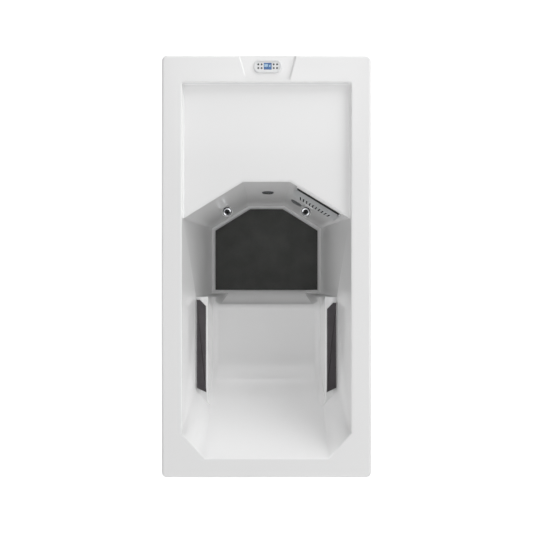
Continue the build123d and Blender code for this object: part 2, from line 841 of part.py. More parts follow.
# Weir flap: floating door inside the throat, on two pins moulded at its lower edge
with BuildPart() as weir_flap:
    with BuildSketch(flap_axis.offset(1)):
        Circle(flap_pin + 1.5)
        with Locations((flap_height / 2, 0)):
            Rectangle(flap_height, flap_thick)
    extrude(amount=throat_width - 2)
    with BuildSketch(flap_axis.offset(-2.5)):
        Circle(flap_pin)
    extrude(amount=throat_width + 5)
weir_flap.part.label = "weir_flap"
export_step(weir_flap.part, "parts/weir_flap.step")

# Filter cartridge: pleated paper between two end caps, pushed on the spigot
cartridge_length = throat_width - 12
with BuildPart() as filter_cartridge:
    with BuildSketch(cartridge_plane.offset(fit_gap)):
        with BuildLine():
            turn = 360 / cartridge_pleats
            points = []
            for number in range(cartridge_pleats):
                for part_turn, reach in ((0, cartridge_radius - 2), (0.5, cartridge_radius - 9)):
                    angle = math.radians((number + part_turn) * turn)
                    points.append((reach * math.cos(angle), reach * math.sin(angle)))
            Polyline(*points, close=True)
        make_face()
    extrude(amount=cartridge_length)
    for start in (0, cartridge_length - cartridge_cap):
        with BuildSketch(cartridge_plane.offset(fit_gap + start)):
            Circle(cartridge_radius)
        extrude(amount=cartridge_cap)
    with BuildSketch(cartridge_plane.offset(fit_gap)):
        Circle(cartridge_core)
    extrude(amount=cartridge_length, mode=Mode.SUBTRACT)
filter_cartridge.part.label = "filter_cartridge"
export_step(filter_cartridge.part, "parts/filter_cartridge.step")


def domed_disc(frame, radius, dome):
    """Round cover with a domed edge that stands on a wall."""
    with BuildPart() as disc:
        with BuildSketch(frame.offset(fit_gap)):
            Circle(radius)
        extrude(amount=dome)
        rim = disc.edges().filter_by(GeomType.CIRCLE).sort_by(Axis(frame.origin, frame.z_dir))[-1]
        fillet(rim, radius=dome - 2)
    return disc.part


def wall_cup(frame, hole, bore, depth, nut):
    """Cup that passes through a hole in the wall, with its nut behind."""
    with BuildPart() as cup:
        with BuildSketch(frame.offset(-depth)):
            Circle(hole - fit_gap)
        extrude(amount=depth)
        with BuildSketch(frame.offset(-(shell_wall + fit_gap))):
            RegularPolygon(nut, 6)
        extrude(amount=-shell_wall)
        with BuildSketch(frame.offset(-depth + shell_wall / 2)):
            Circle(bore)
        extrude(amount=depth, mode=Mode.SUBTRACT)
    return cup.part


# Suction cover and its body in the right-hand slanting wall
suction_blank = domed_disc(suction_seat, suction_radius, suction_dome)
with BuildPart() as suction_cover:
    add(suction_blank)
    with BuildSketch(suction_seat):
        with PolarLocations(suction_radius * 0.56, 12):
            SlotOverall(suction_radius * 0.42, 3.4)
    extrude(amount=2 * suction_dome, mode=Mode.SUBTRACT)
suction_cover.part.label = "suction_cover"
export_step(suction_cover.part, "parts/suction_cover.step")

suction_body = wall_cup(suction_seat, suction_hole, suction_bore, suction_cup, suction_hole + 8)
suction_body.label = "suction_body"
export_step(suction_body, "parts/suction_body.step")

# Underwater lamp in the end wall: clear lens and its housing
light_lens = domed_disc(lens_seat, lens_radius, lens_dome)
light_lens.label = "light_lens"
export_step(light_lens, "parts/light_lens.step")

light_housing = wall_cup(lens_seat, lens_hole, lens_hole - 4, lens_cup, lens_hole + 8)
light_housing.label = "light_housing"
export_step(light_housing, "parts/light_housing.step")

# Jets: body in the pod, chrome ring that turns on it, and the ball nozzle in the ring
flange_top = pod_top + jet_flange + fit_gap
for side, suffix in ((-1, "left"), (1, "right")):
    jet = jet_frame(side)
    profile_plane = radial(jet)
    with BuildPart() as jet_body:
        with BuildSketch(jet.offset(flange_top - jet_flange)):
            Circle(jet_flange_radius)
        extrude(amount=jet_flange)
        with BuildSketch(jet.offset(pod_top - jet_cup_depth + 1)):
            Circle(jet_cup_radius)
        extrude(amount=jet_cup_depth)
        with BuildSketch(jet.offset(-jet_tube_end)):
            Circle(jet_tube_radius)
        extrude(amount=jet_tube_end + pod_top - jet_cup_depth + 2)
        with BuildSketch(jet.offset(pod_top - jet_cup_depth + 4)):
            Circle(jet_sleeve_radius + run_gap)
        extrude(amount=jet_cup_depth + 10, mode=Mode.SUBTRACT)
        with BuildSketch(jet.offset(-jet_tube_end)):
            Circle(jet_tube_bore)
        extrude(amount=jet_tube_end, mode=Mode.SUBTRACT)
    jet_body.part.label = f"jet_body_{suffix}"
    export_step(jet_body.part, f"parts/jet_body_{suffix}.step")

    with BuildPart() as jet_ring:
        with BuildSketch(profile_plane):
            with BuildLine():
                Line((jet_ring_bore, -2), (jet_ring_bore, flange_top - jet_ring_sleeve))
                Line((jet_ring_bore, flange_top - jet_ring_sleeve),
                     (jet_sleeve_radius, flange_top - jet_ring_sleeve))
                Line((jet_sleeve_radius, flange_top - jet_ring_sleeve),
                     (jet_sleeve_radius, flange_top + run_gap))
                Line((jet_sleeve_radius, flange_top + run_gap), (jet_ring_radius, flange_top + run_gap))
                Line((jet_ring_radius, flange_top + run_gap), (jet_ring_radius, flange_top + 2))
                ThreePointArc((jet_ring_radius, flange_top + 2),
                              (jet_ring_radius - 2.5, flange_top + 4.6),
                              (jet_ring_radius - 6, flange_top + jet_ring_thick))
                Line((jet_ring_radius - 6, flange_top + jet_ring_thick), (jet_ring_bore, -2))
            make_face()
        revolve(axis=axis_of(jet))
    jet_ring.part.label = f"jet_ring_{suffix}"
    export_step(jet_ring.part, f"parts/jet_ring_{suffix}.step")

    ball = jet.offset(-nozzle_drop)
    with BuildPart() as jet_nozzle:
        with Locations(ball):
            Sphere(jet_ring_bore - fit_gap)
        split(bisect_by=ball.offset(nozzle_mouth - 2), keep=Keep.BOTTOM)
        split(bisect_by=ball.offset(-nozzle_mouth), keep=Keep.TOP)
        with BuildSketch(ball.offset(-2 * nozzle_mouth)):
            Circle(nozzle_bore)
        extrude(amount=4 * nozzle_mouth, mode=Mode.SUBTRACT)
    jet_nozzle.part.label = f"jet_nozzle_{suffix}"
    export_step(jet_nozzle.part, f"parts/jet_nozzle_{suffix}.step")

# Base pan: moulded tray on four long skids, notched round the corner posts
post_inner_x = cabinet_x - post_size
post_inner_y = cabinet_y - post_size
cabinet_top = pocket_floor - shell_wall - fit_gap
skid_span = 2 * inside_x - pan_skid_width - 60
with BuildPart() as base_pan:
    with BuildSketch(Plane.XY.offset(pan_skid)):
        Rectangle(2 * inside_x, 2 * (post_inner_y - fit_gap))
        Rectangle(2 * (post_inner_x - fit_gap), 2 * inside_y)
    extrude(amount=pan_plate)
    with BuildSketch(Plane.XY):
        with GridLocations(skid_span / 3, 0, 4, 1):
            SlotOverall(2 * inside_y - 60, pan_skid_width, rotation=90)
    extrude(amount=pan_skid)
base_pan.part.label = "base_pan"
export_step(base_pan.part, "parts/base_pan.step")

# Corner posts: four extruded posts with a rounded outer corner
with BuildPart() as corner_posts:
    for side_x in (-1, 1):
        for side_y in (-1, 1):
            middle = (side_x * (cabinet_x - post_size / 2), side_y * (cabinet_y - post_size / 2))
            with BuildSketch(Plane.XY.offset(panel_floor_gap)) as section:
                with Locations(middle):
                    Rectangle(post_size, post_size)
                outer = section.vertices().sort_by_distance((side_x * cabinet_x, side_y * cabinet_y))[0]
                fillet(outer, radius=post_round)
            extrude(amount=cabinet_top - panel_floor_gap)
corner_posts.part.label = "corner_posts"
export_step(corner_posts.part, "parts/corner_posts.step")

# Timber frame: long and short rails above and below, and the studs between
rail_x = inside_x - timber / 2
rail_y = inside_y - timber / 2
rail_low = pan_top + fit_gap
long_rail_top = rim_underside - fit_gap
with BuildPart() as frame_rails_long:
    for level in (rail_low, long_rail_top - timber):
        with BuildSketch(Plane.XY.offset(level)):
            with GridLocations(2 * rail_x, 0, 2, 1):
                Rectangle(timber, 2 * (inside_y - timber - fit_gap))
        extrude(amount=timber)
frame_rails_long.part.label = "frame_rails_long"
export_step(frame_rails_long.part, "parts/frame_rails_long.step")

with BuildPart() as frame_rails_short:
    for level in (rail_low, cabinet_top - timber):
        with BuildSketch(Plane.XY.offset(level)):
            with GridLocations(0, 2 * rail_y, 1, 2):
                Rectangle(2 * (post_inner_x - fit_gap), timber)
        extrude(amount=timber)
frame_rails_short.part.label = "frame_rails_short"
export_step(frame_rails_short.part, "parts/frame_rails_short.step")

stud_foot = rail_low + timber + fit_gap
with BuildPart() as frame_studs:
    for stud_y in stud_places:
        with BuildSketch(Plane.XY.offset(stud_foot)):
            with Locations((-rail_x, stud_y), (rail_x, stud_y)):
                Rectangle(timber, timber)
        extrude(amount=long_rail_top - timber - fit_gap - stud_foot)
    with BuildSketch(Plane.XY.offset(stud_foot)):
        with Locations((-end_stud_place, -rail_y), (end_stud_place, -rail_y)):
            Rectangle(timber, timber)
    extrude(amount=cabinet_top - timber - fit_gap - stud_foot)
frame_studs.part.label = "frame_studs"
export_step(frame_studs.part, "parts/frame_studs.step")

# Supports under the shell: foam block below the footwell, beam and props below the seat
with BuildPart() as foot_block:
    block(half_width, riser_foot + timber, half_length, pan_top + fit_gap,
          floor_height - shell_wall - fit_gap)
    keep_inside(side_planes(-timber) + foot_planes(-timber))
foot_block.part.label = "foot_block"
export_step(foot_block.part, "parts/foot_block.step")

seat_underside = seat_height - shell_wall
with BuildPart() as seat_beam:
    with Locations((0, seat_beam_y, seat_underside - fit_gap - seat_beam_depth / 2)):
        Box(2 * (prop_place + timber), timber, seat_beam_depth)
seat_beam.part.label = "seat_beam"
export_step(seat_beam.part, "parts/seat_beam.step")

prop_foot = pan_top + fit_gap
prop_top = seat_underside - seat_beam_depth - 2 * fit_gap
with BuildPart() as seat_props:
    with Locations((-prop_place, seat_beam_y, (prop_foot + prop_top) / 2),
                   (prop_place, seat_beam_y, (prop_foot + prop_top) / 2)):
        Box(timber, 2 * timber, prop_top - prop_foot)
seat_props.part.label = "seat_props"
export_step(seat_props.part, "parts/seat_props.step")

# Panels: grooved boards between the posts, screwed to the frame
panel_height = cabinet_top - panel_floor_gap
panel_middle_z = (cabinet_top + panel_floor_gap) / 2
side_panel_half = post_inner_y - fit_gap
end_panel_half = post_inner_x - fit_gap
screw_high = tub_height - rim_lip - screw_inset
screw_low = panel_floor_gap + 2 * screw_inset


def panel_frame(direction_x, direction_y):
    """Plane on a panel's outer face, with x along the panel and y up."""
    reach = cabinet_x if direction_x else cabinet_y
    start = Vector(direction_x * reach, direction_y * reach, 0)
    return Plane(origin=start, x_dir=(-direction_y, direction_x, 0), z_dir=(direction_x, direction_y, 0))


def grooved_panel(face, half):
    """Board with upright grooves on its outer face and four screw holes."""
    grooves = int(2 * (half - groove_pitch / 2) / groove_pitch)
    with BuildPart() as board:
        with BuildSketch(face):
            with Locations((0, panel_middle_z)):
                Rectangle(2 * half, panel_height)
        extrude(amount=-panel_thick)
        with BuildSketch(face):
            with Locations((0, panel_middle_z)):
                with GridLocations(groove_pitch, 0, grooves, 1):
                    Rectangle(groove_width, panel_height + 2)
        extrude(amount=-groove_depth, mode=Mode.SUBTRACT)
        with BuildSketch(face):
            with Locations((0, (screw_high + screw_low) / 2)):
                with GridLocations(2 * (half - screw_inset), screw_high - screw_low, 2, 2):
                    Circle(2.5)
        extrude(amount=-panel_thick, mode=Mode.SUBTRACT)
    return board.part


right_face = panel_frame(1, 0)
left_face = panel_frame(-1, 0)
deck_face = panel_frame(0, 1)
seat_face = panel_frame(0, -1)

panel_left = grooved_panel(left_face, side_panel_half)
panel_left.label = "panel_left"
export_step(panel_left, "parts/panel_left.step")

panel_seat_end = grooved_panel(seat_face, end_panel_half)
panel_seat_end.label = "panel_seat_end"
export_step(panel_seat_end, "parts/panel_seat_end.step")

outlet_start = outlet_plane.origin + outlet_plane.z_dir * (outlet_length + fit_gap)
drain_y = outlet_start.Y
right_blank = grooved_panel(right_face, side_panel_half)
with BuildPart() as panel_right:
    add(right_blank)
    with BuildSketch(right_face):
        with Locations((drain_y, drain_height)):
            Circle(drain_radius + fit_gap)
    extrude(amount=-panel_thick, mode=Mode.SUBTRACT)
panel_right.part.label = "panel_right"
export_step(panel_right.part, "parts/panel_right.step")

# Equipment-end panel: louvred in front of the chiller's coil, with the cable gland's hole
chiller_x = chiller_width / 2 + bay_gap + timber - inside_x
gland_x = end_panel_half - gland_inset
tray_top = pan_top + fit_gap + tray_sheet
coil_foot = tray_top + fit_gap
louvre_z = coil_foot + coil_height / 2
louvre_height = louvre_count * louvre_pitch
deck_blank = grooved_panel(deck_face, end_panel_half)
with BuildPart() as panel_equipment_end:
    add(deck_blank)
    with BuildSketch(deck_face):
        with Locations((-chiller_x, louvre_z)):
            Rectangle(louvre_width, louvre_height)
        with Locations((-gland_x, gland_height)):
            Circle(gland_radius + fit_gap)
    extrude(amount=-panel_thick, mode=Mode.SUBTRACT)
    lean = panel_thick * slope(louvre_lean)
    for number in range(louvre_count):
        low = louvre_z - louvre_height / 2 + (number + 0.3) * louvre_pitch
        with BuildSketch(Plane.YZ.offset(chiller_x)):
            with BuildLine():
                Polyline((cabinet_y, low), (cabinet_y, low + louvre_slat),
                         (cabinet_y - panel_thick, low + louvre_slat + lean),
                         (cabinet_y - panel_thick, low + lean), close=True)
            make_face()
        extrude(amount=louvre_width / 2 + 1, both=True)
panel_equipment_end.part.label = "panel_equipment_end"
export_step(panel_equipment_end.part, "parts/panel_equipment_end.step")

# Panel screws: sixteen domed screws, four to a panel
with BuildPart() as panel_screws:
    for face, half in ((right_face, side_panel_half), (left_face, side_panel_half),
                       (deck_face, end_panel_half), (seat_face, end_panel_half)):
        for radius, reach in ((screw_head_radius, screw_head), (2.2, -(panel_thick - 1))):
            with BuildSketch(face.offset(fit_gap)):
                with Locations((0, (screw_high + screw_low) / 2)):
                    with GridLocations(2 * (half - screw_inset), screw_high - screw_low, 2, 2):
                        Circle(radius)
            extrude(amount=reach)
panel_screws.part.label = "panel_screws"
export_step(panel_screws.part, "parts/panel_screws.step")

# Cable gland in the equipment-end panel, with its lock nut inside; no cord is fitted
gland_plane = on_frame(deck_face, -gland_x, gland_height)
with BuildPart() as cable_gland:
    with BuildSketch(gland_plane.offset(-panel_thick - gland_inside)):
        Circle(gland_radius)
    extrude(amount=gland_inside + panel_thick + gland_outside)
    with BuildSketch(gland_plane.offset(fit_gap)):
        RegularPolygon(gland_radius + gland_nut, 6)
    extrude(amount=gland_head)
    with BuildSketch(gland_plane.offset(-panel_thick - fit_gap)):
        RegularPolygon(gland_radius + gland_nut, 6)
    extrude(amount=-gland_lock)
    with BuildSketch(gland_plane.offset(-panel_thick - gland_inside)):
        Circle(gland_bore)
    extrude(amount=gland_inside + panel_thick + gland_outside, mode=Mode.SUBTRACT)
cable_gland.part.label = "cable_gland"
export_step(cable_gland.part, "parts/cable_gland.step")

# Chiller tray, between the frame's low rails
chiller_back = inside_y - timber - bay_gap
with BuildPart() as chiller_base:
    with BuildSketch(Plane.XY.offset(pan_top + fit_gap)):
        with Locations((chiller_x, chiller_back - chiller_length / 2)):
            RectangleRounded(chiller_width, chiller_length, 12)
    extrude(amount=tray_edge)
    with BuildSketch(Plane.XY.offset(tray_top)):
        with Locations((chiller_x, chiller_back - chiller_length / 2)):
            RectangleRounded(chiller_width - 2 * tray_sheet, chiller_length - 2 * tray_sheet, 8)
    extrude(amount=tray_edge, mode=Mode.SUBTRACT)
chiller_base.part.label = "chiller_base"
export_step(chiller_base.part, "parts/chiller_base.step")

# Condenser coil: fin pack with return bends at one side
coil_back = chiller_back - tray_sheet - fit_gap
coil_front = coil_back - coil_thick
fin_count = int(coil_width / fin_pitch) - 1
with BuildPart() as condenser_coil:
    with BuildSketch(Plane.XY.offset(coil_foot)):
        with Locations((chiller_x, coil_back - coil_thick / 2)):
            Rectangle(coil_width, coil_thick)
        with Locations((chiller_x, coil_back)):
            with GridLocations(fin_pitch, 0, fin_count, 1):
                Rectangle(fin_pitch * 0.6, coil_thick * 0.5, mode=Mode.SUBTRACT)
    extrude(amount=coil_height)
    for number in range(5):
        low = coil_foot + (number + 0.5) * coil_height / 5
        with BuildSketch(Plane(origin=(chiller_x + coil_width / 2, coil_back - coil_thick / 2, low),
                               x_dir=(0, 0, 1), z_dir=(1, 0, 0))):
            with Locations((12, 0)):
                Circle(5)
        revolve(axis=Axis((chiller_x + coil_width / 2, coil_back - coil_thick / 2, low), (0, 1, 0)),
                revolution_arc=180)
condenser_coil.part.label = "condenser_coil"
export_step(condenser_coil.part, "parts/condenser_coil.step")

# Fan shroud, fan and fan motor, on one axis behind the coil
shroud_back = coil_front - fit_gap
shroud_front = shroud_back - shroud_depth
fan_z = coil_foot + coil_height / 2
fan_plane = Plane(origin=(chiller_x, shroud_back, fan_z), x_dir=(1, 0, 0), z_dir=(0, -1, 0))
with BuildPart() as fan_shroud:
    with BuildSketch(fan_plane):
        Rectangle(coil_width, coil_height)
        Circle(fan_radius + fan_tip_gap, mode=Mode.SUBTRACT)
    extrude(amount=shroud_depth)
    with BuildSketch(fan_plane):
        Rectangle(coil_width - 8, coil_height - 8)
        Circle(fan_radius + fan_tip_gap + 3, mode=Mode.SUBTRACT)
    extrude(amount=shroud_depth - 3, mode=Mode.SUBTRACT)
fan_shroud.part.label = "fan_shroud"
export_step(fan_shroud.part, "parts/fan_shroud.step")

fan_middle = fan_setback + fan_hub_depth / 2
with BuildPart() as condenser_fan:
    with BuildSketch(fan_plane.offset(fan_setback)):
        Circle(fan_hub)
    extrude(amount=fan_hub_depth)
    for number in range(fan_blades):
        angle = math.radians(number * 360 / fan_blades)
        outward = Vector(math.cos(angle), 0, math.sin(angle))
        middle = fan_plane.offset(fan_middle).origin + outward * ((fan_radius + fan_hub) / 2)
        across = outward.cross(fan_plane.z_dir)
        pitch = math.radians(fan_pitch)
        blade_plane = Plane(origin=middle, x_dir=outward,
                            z_dir=fan_plane.z_dir * math.cos(pitch) + across * math.sin(pitch))
        with BuildSketch(blade_plane):
            RectangleRounded(fan_radius - fan_hub + 6, fan_blade_width, 8)
        extrude(amount=fan_blade_sheet / 2, both=True)
    with BuildSketch(fan_plane):
        Circle(fan_shaft + run_gap)
    extrude(amount=shroud_depth, mode=Mode.SUBTRACT)
condenser_fan.part.label = "condenser_fan"
export_step(condenser_fan.part, "parts/condenser_fan.step")

motor_plane = fan_plane.offset(shroud_depth + fit_gap)
with BuildPart() as fan_motor:
    with BuildSketch(motor_plane):
        Circle(motor_radius)
    extrude(amount=motor_length)
    fillet(fan_motor.edges().filter_by(GeomType.CIRCLE).sort_by(Axis.Y)[0], radius=6)
    with BuildSketch(motor_plane):
        with PolarLocations(fan_radius / 2 + spoke_start, 3, start_angle=90):
            Rectangle(fan_radius, spoke_width)
    extrude(amount=4)
    with BuildSketch(fan_plane.offset(6)):
        Circle(fan_shaft)
    extrude(amount=shroud_depth)
fan_motor.part.label = "fan_motor"
export_step(fan_motor.part, "parts/fan_motor.step")

# Compressor: hermetic can on a foot plate with four rubber feet
compressor_y = chiller_back - chiller_length + compressor_setback
compressor_x = chiller_x - chiller_width / 2 + compressor_setback
can_foot = tray_top + fit_gap + foot_rubber + foot_plate
with BuildPart() as compressor:
    with BuildSketch(Plane.XY.offset(can_foot)):
        with Locations((compressor_x, compressor_y)):
            Circle(compressor_radius)
    extrude(amount=compressor_height)
    fillet(compressor.edges().filter_by(GeomType.CIRCLE).sort_by(Axis.Z)[-1], radius=compressor_dome)
    with BuildSketch(Plane.XY.offset(can_foot - foot_plate)):
        with Locations((compressor_x, compressor_y)):
            RectangleRounded(2 * (compressor_radius + foot_plate_reach), 2 * compressor_radius + 4, 20)
    extrude(amount=foot_plate)
    with BuildSketch(Plane.XY.offset(tray_top + fit_gap)):
        with Locations((compressor_x, compressor_y)):
            with GridLocations(2 * compressor_radius - 20, 2 * compressor_radius - 30, 2, 2):
                Circle(foot_rubber_radius)
    extrude(amount=foot_rubber)
compressor.part.label = "compressor"
export_step(compressor.part, "parts/compressor.step")

# Heat exchanger: upright barrel, water in at the top and out at the side
exchanger_foot = tray_top + fit_gap
exchanger_top = exchanger_foot + exchanger_height
exchanger_port = exchanger_foot + exchanger_port_rise
exchanger_x = chiller_x + chiller_width / 2 - exchanger_inset
exchanger_y = compressor_y
port_reach = exchanger_y - exchanger_radius - exchanger_stub
with BuildPart() as heat_exchanger:
    with BuildSketch(Plane.XY.offset(exchanger_foot)):
        with Locations((exchanger_x, exchanger_y)):
            Circle(exchanger_radius)
    extrude(amount=exchanger_height)
    fillet(heat_exchanger.edges().filter_by(GeomType.CIRCLE).sort_by(Axis.Z)[-1], radius=20)
    with BuildSketch(Plane.XY.offset(exchanger_top - port_wall)):
        with Locations((exchanger_x, exchanger_y)):
            Circle(pipe_radius + port_wall)
    extrude(amount=exchanger_neck + port_wall)
    with BuildSketch(Plane.XZ.offset(-port_reach)):
        with Locations((exchanger_x, exchanger_port)):
            Circle(pipe_radius + port_wall)
    extrude(amount=-(exchanger_y - port_reach))
heat_exchanger.part.label = "heat_exchanger"
export_step(heat_exchanger.part, "parts/heat_exchanger.step")

# Circulation pump: wet end with its two ports, and the finned motor behind it
pump_x = outlet_start.X - pump_offset
pump_back = inside_y - timber - pump_gap
pump_face = pump_back - motor_can_length - fit_gap - volute_length - volute_start
pump_plane = Plane(origin=(pump_x, pump_face, pump_axis_height), x_dir=(-1, 0, 0), z_dir=(0, 1, 0))
port_top = pump_axis_height + volute_radius + port_rise
port_y = pump_face + volute_start + volute_length / 2
with BuildPart() as pump_wet_end:
    with BuildSketch(pump_plane):
        Circle(pipe_radius + port_wall)
    extrude(amount=volute_start)
    with BuildSketch(pump_plane.offset(volute_start)):
        Circle(volute_radius)
    extrude(amount=volute_length)
    fillet(pump_wet_end.edges().filter_by(GeomType.CIRCLE).filter_by(
        lambda e: e.radius > volute_radius - 1), radius=volute_round)
    with BuildSketch(Plane.XY.offset(pump_axis_height)):
        with Locations((pump_x + port_offset, port_y)):
            Circle(pipe_radius + port_wall)
    extrude(amount=port_top - pump_axis_height)
    with BuildSketch(Plane.XY.offset(pan_top + fit_gap)):
        with Locations((pump_x, port_y)):
            Rectangle(volute_radius * 1.5, volute_length - 24)
    extrude(amount=pump_axis_height - pan_top - volute_radius / 2)
pump_wet_end.part.label = "pump_wet_end"
export_step(pump_wet_end.part, "parts/pump_wet_end.step")

can_plane = pump_plane.offset(volute_start + volute_length + fit_gap)
with BuildPart() as pump_motor:
    with BuildSketch(can_plane):
        Circle(motor_can_radius)
    extrude(amount=motor_can_length)
    with BuildSketch(can_plane.offset(motor_fin_start)):
        Circle(motor_can_radius)
        with PolarLocations(motor_can_radius + 2, motor_fins):
            Rectangle(1.5 * motor_fin_height, motor_fin_sheet)
    extrude(amount=motor_can_length - motor_cowl - motor_fin_start)
    with BuildSketch(can_plane.offset(motor_can_length - motor_cowl)):
        Circle(motor_can_radius + 5)
    extrude(amount=motor_cowl)
    with BuildSketch(Plane.XY.offset(pan_top + fit_gap)):
        with Locations((pump_x, can_plane.origin.Y + motor_can_length / 2)):
            Rectangle(motor_can_radius * 1.5, motor_can_length / 2)
    extrude(amount=pump_axis_height - pan_top - motor_can_radius / 2)
    with Locations((pump_x, can_plane.origin.Y + motor_can_length / 2,
                    pump_axis_height + motor_can_radius + terminal_height / 4)):
        Box(terminal_width, terminal_length, terminal_height)
pump_motor.part.label = "pump_motor"
export_step(pump_motor.part, "parts/pump_motor.step")

# Pipes: solvent-welded pipe from skimmer and suction to the pump, with the drain's stub
suction_start = suction_seat.origin - suction_seat.z_dir * (suction_cup + fit_gap)
sump_foot = drain_height - pipe_radius - 8
drain_x = cabinet_x - drain_inset
drain_stub = drain_x - valve_length / 2 - 12


def tube(points, radius, bend):
    """Round rod along a line of points with bent corners."""
    with BuildPart() as rod:
        with BuildLine() as route:
            FilletPolyline(*points, radius=bend)
        with BuildSketch(Plane(origin=points[0], z_dir=Vector(*points[1]) - Vector(*points[0]))):
            Circle(radius)
        sweep(path=route.wires()[0])
    return rod.part


suction_reach = (pump_x - suction_start.X) / -suction_seat.z_dir.X
suction_over = suction_start - suction_seat.z_dir * suction_reach
suction_leg = tube([tuple(suction_start), tuple(suction_over),
                    (pump_x, suction_over.Y, pump_axis_height)], pipe_radius, pipe_bend)
pump_leg = tube([(outlet_start.X, drain_y, pump_axis_height), (pump_x, drain_y, pump_axis_height),
                 (pump_x, pump_face - fit_gap, pump_axis_height)], pipe_radius, pipe_bend)
with BuildPart() as pipe_to_pump:
    with BuildSketch(Plane.XY.offset(sump_foot)):
        with Locations((outlet_start.X, drain_y)):
            Circle(pipe_radius)
    extrude(amount=outlet_start.Z - sump_clear - sump_foot)
    add(suction_leg)
    add(pump_leg)
    with BuildSketch(Plane.YZ.offset(outlet_start.X)):
        with Locations((drain_y, drain_height)):
            Circle(drain_radius)
    extrude(amount=drain_stub - outlet_start.X)
pipe_to_pump.part.label = "pipe_to_pump"
export_step(pipe_to_pump.part, "parts/pipe_to_pump.step")

# Pipe from the pump up and across to the heat exchanger
pump_outlet = (pump_x + port_offset, port_y, port_top + fit_gap)
pipe_to_chiller = tube([pump_outlet, (pump_outlet[0], port_y, discharge_height),
                        (exchanger_x, port_y, discharge_height),
                        (exchanger_x, exchanger_y, discharge_height),
                        (exchanger_x, exchanger_y, exchanger_top + exchanger_neck + fit_gap)],
                       pipe_radius, pipe_bend)
pipe_to_chiller.label = "pipe_to_chiller"
export_step(pipe_to_chiller, "parts/pipe_to_chiller.step")

# Return pipe from the heat exchanger, with a hose to each jet
manifold_y = deck_front + manifold_gap
manifold_half = -exchanger_x - hose_tee_inset
hose_ends = []
for side in (-1, 1):
    jet = jet_frame(side)
    hose_ends.append([tuple(jet.offset(-jet_tube_end - fit_gap).origin),
                      tuple(jet.offset(-jet_tube_end - hose_lead).origin),
                      (side * manifold_half, manifold_y, manifold_height)])
hoses = tube(hose_ends[0] + hose_ends[1][::-1], hose_radius, hose_radius * 2)
riser = tube([(exchanger_x, port_reach - fit_gap, exchanger_port),
              (exchanger_x, manifold_y, exchanger_port),
              (exchanger_x, manifold_y, manifold_height)], pipe_radius, pipe_bend)
with BuildPart() as pipe_to_jets:
    add(hoses)
    add(riser)
pipe_to_jets.part.label = "pipe_to_jets"
export_step(pipe_to_jets.part, "parts/pipe_to_jets.step")

# Drain valve: ball valve whose hose thread ends flush in the right-hand panel
valve_start = drain_stub + fit_gap
with BuildPart() as drain_valve:
    with BuildSketch(Plane.YZ.offset(valve_start)):
        with Locations((drain_y, drain_height)):
            Circle(drain_radius)
    extrude(amount=cabinet_x - valve_start)
    with BuildSketch(Plane.YZ.offset(drain_x - valve_length / 2)):
        with Locations((drain_y, drain_height)):
            RegularPolygon(drain_radius + valve_nut, 8)
    extrude(amount=valve_length)
    with BuildSketch(Plane.YZ.offset(cabinet_x - drain_thread)):
        with Locations((drain_y, drain_height)):
            Circle(drain_bore)
    extrude(amount=drain_thread, mode=Mode.SUBTRACT)
    with BuildSketch(Plane.XY.offset(drain_height + drain_radius)):
        with Locations((drain_x, drain_y)):
            Circle(valve_neck_radius)
    extrude(amount=valve_neck)
    with BuildSketch(Plane.XY.offset(drain_height + drain_radius + 1)):
        with Locations((drain_x, drain_y)):
            Circle(valve_stem + run_gap)
    extrude(amount=valve_neck, mode=Mode.SUBTRACT)
drain_valve.part.label = "drain_valve"
export_step(drain_valve.part, "parts/drain_valve.step")

handle_foot = drain_height + drain_radius + valve_neck + fit_gap
with BuildPart() as drain_handle:
    with BuildSketch(Plane.XY.offset(handle_foot)):
        with Locations((drain_x, drain_y)):
            Circle(valve_neck_radius)
        with Locations((drain_x, drain_y + drain_lever / 2)):
            RectangleRounded(drain_lever_width, drain_lever, drain_lever_width / 2 - 1)
    extrude(amount=drain_lever_sheet)
    with BuildSketch(Plane.XY.offset(handle_foot)):
        with Locations((drain_x, drain_y)):
            Circle(valve_stem)
    extrude(amount=2 - valve_neck)
drain_handle.part.label = "drain_handle"
export_step(drain_handle.part, "parts/drain_handle.step")

# Control box and ozone generator, screwed to the studs
box_y = stud_places[2]
stud_face = rail_x - timber / 2 - fit_gap
with BuildPart() as control_box:
    with Locations((stud_face - box_depth / 2, box_y, tub_height - box_drop - box_height / 2)):
        Box(box_depth, box_width, box_height)
    fillet(control_box.edges().filter_by(Axis.Z), radius=box_corner)
control_box.part.label = "control_box"
export_step(control_box.part, "parts/control_box.step")

ozone_x = ozone_depth / 2 - stud_face
ozone_foot = tub_height - ozone_drop - ozone_height
with BuildPart() as ozone_generator:
    with Locations((ozone_x, box_y, ozone_foot + ozone_height / 2)):
        Box(ozone_depth, ozone_width, ozone_height)
    fillet(ozone_generator.edges().filter_by(Axis.Z), radius=box_corner)
    with BuildSketch(Plane.XY.offset(ozone_foot)):
        with Locations((ozone_x, box_y)):
            with GridLocations(0, ozone_stub_pitch, 1, 2):
                Circle(ozone_stub_radius)
    extrude(amount=-ozone_stub)
ozone_generator.part.label = "ozone_generator"
export_step(ozone_generator.part, "parts/ozone_generator.step")
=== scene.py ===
"""Cold plunge tub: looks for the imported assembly."""

import math

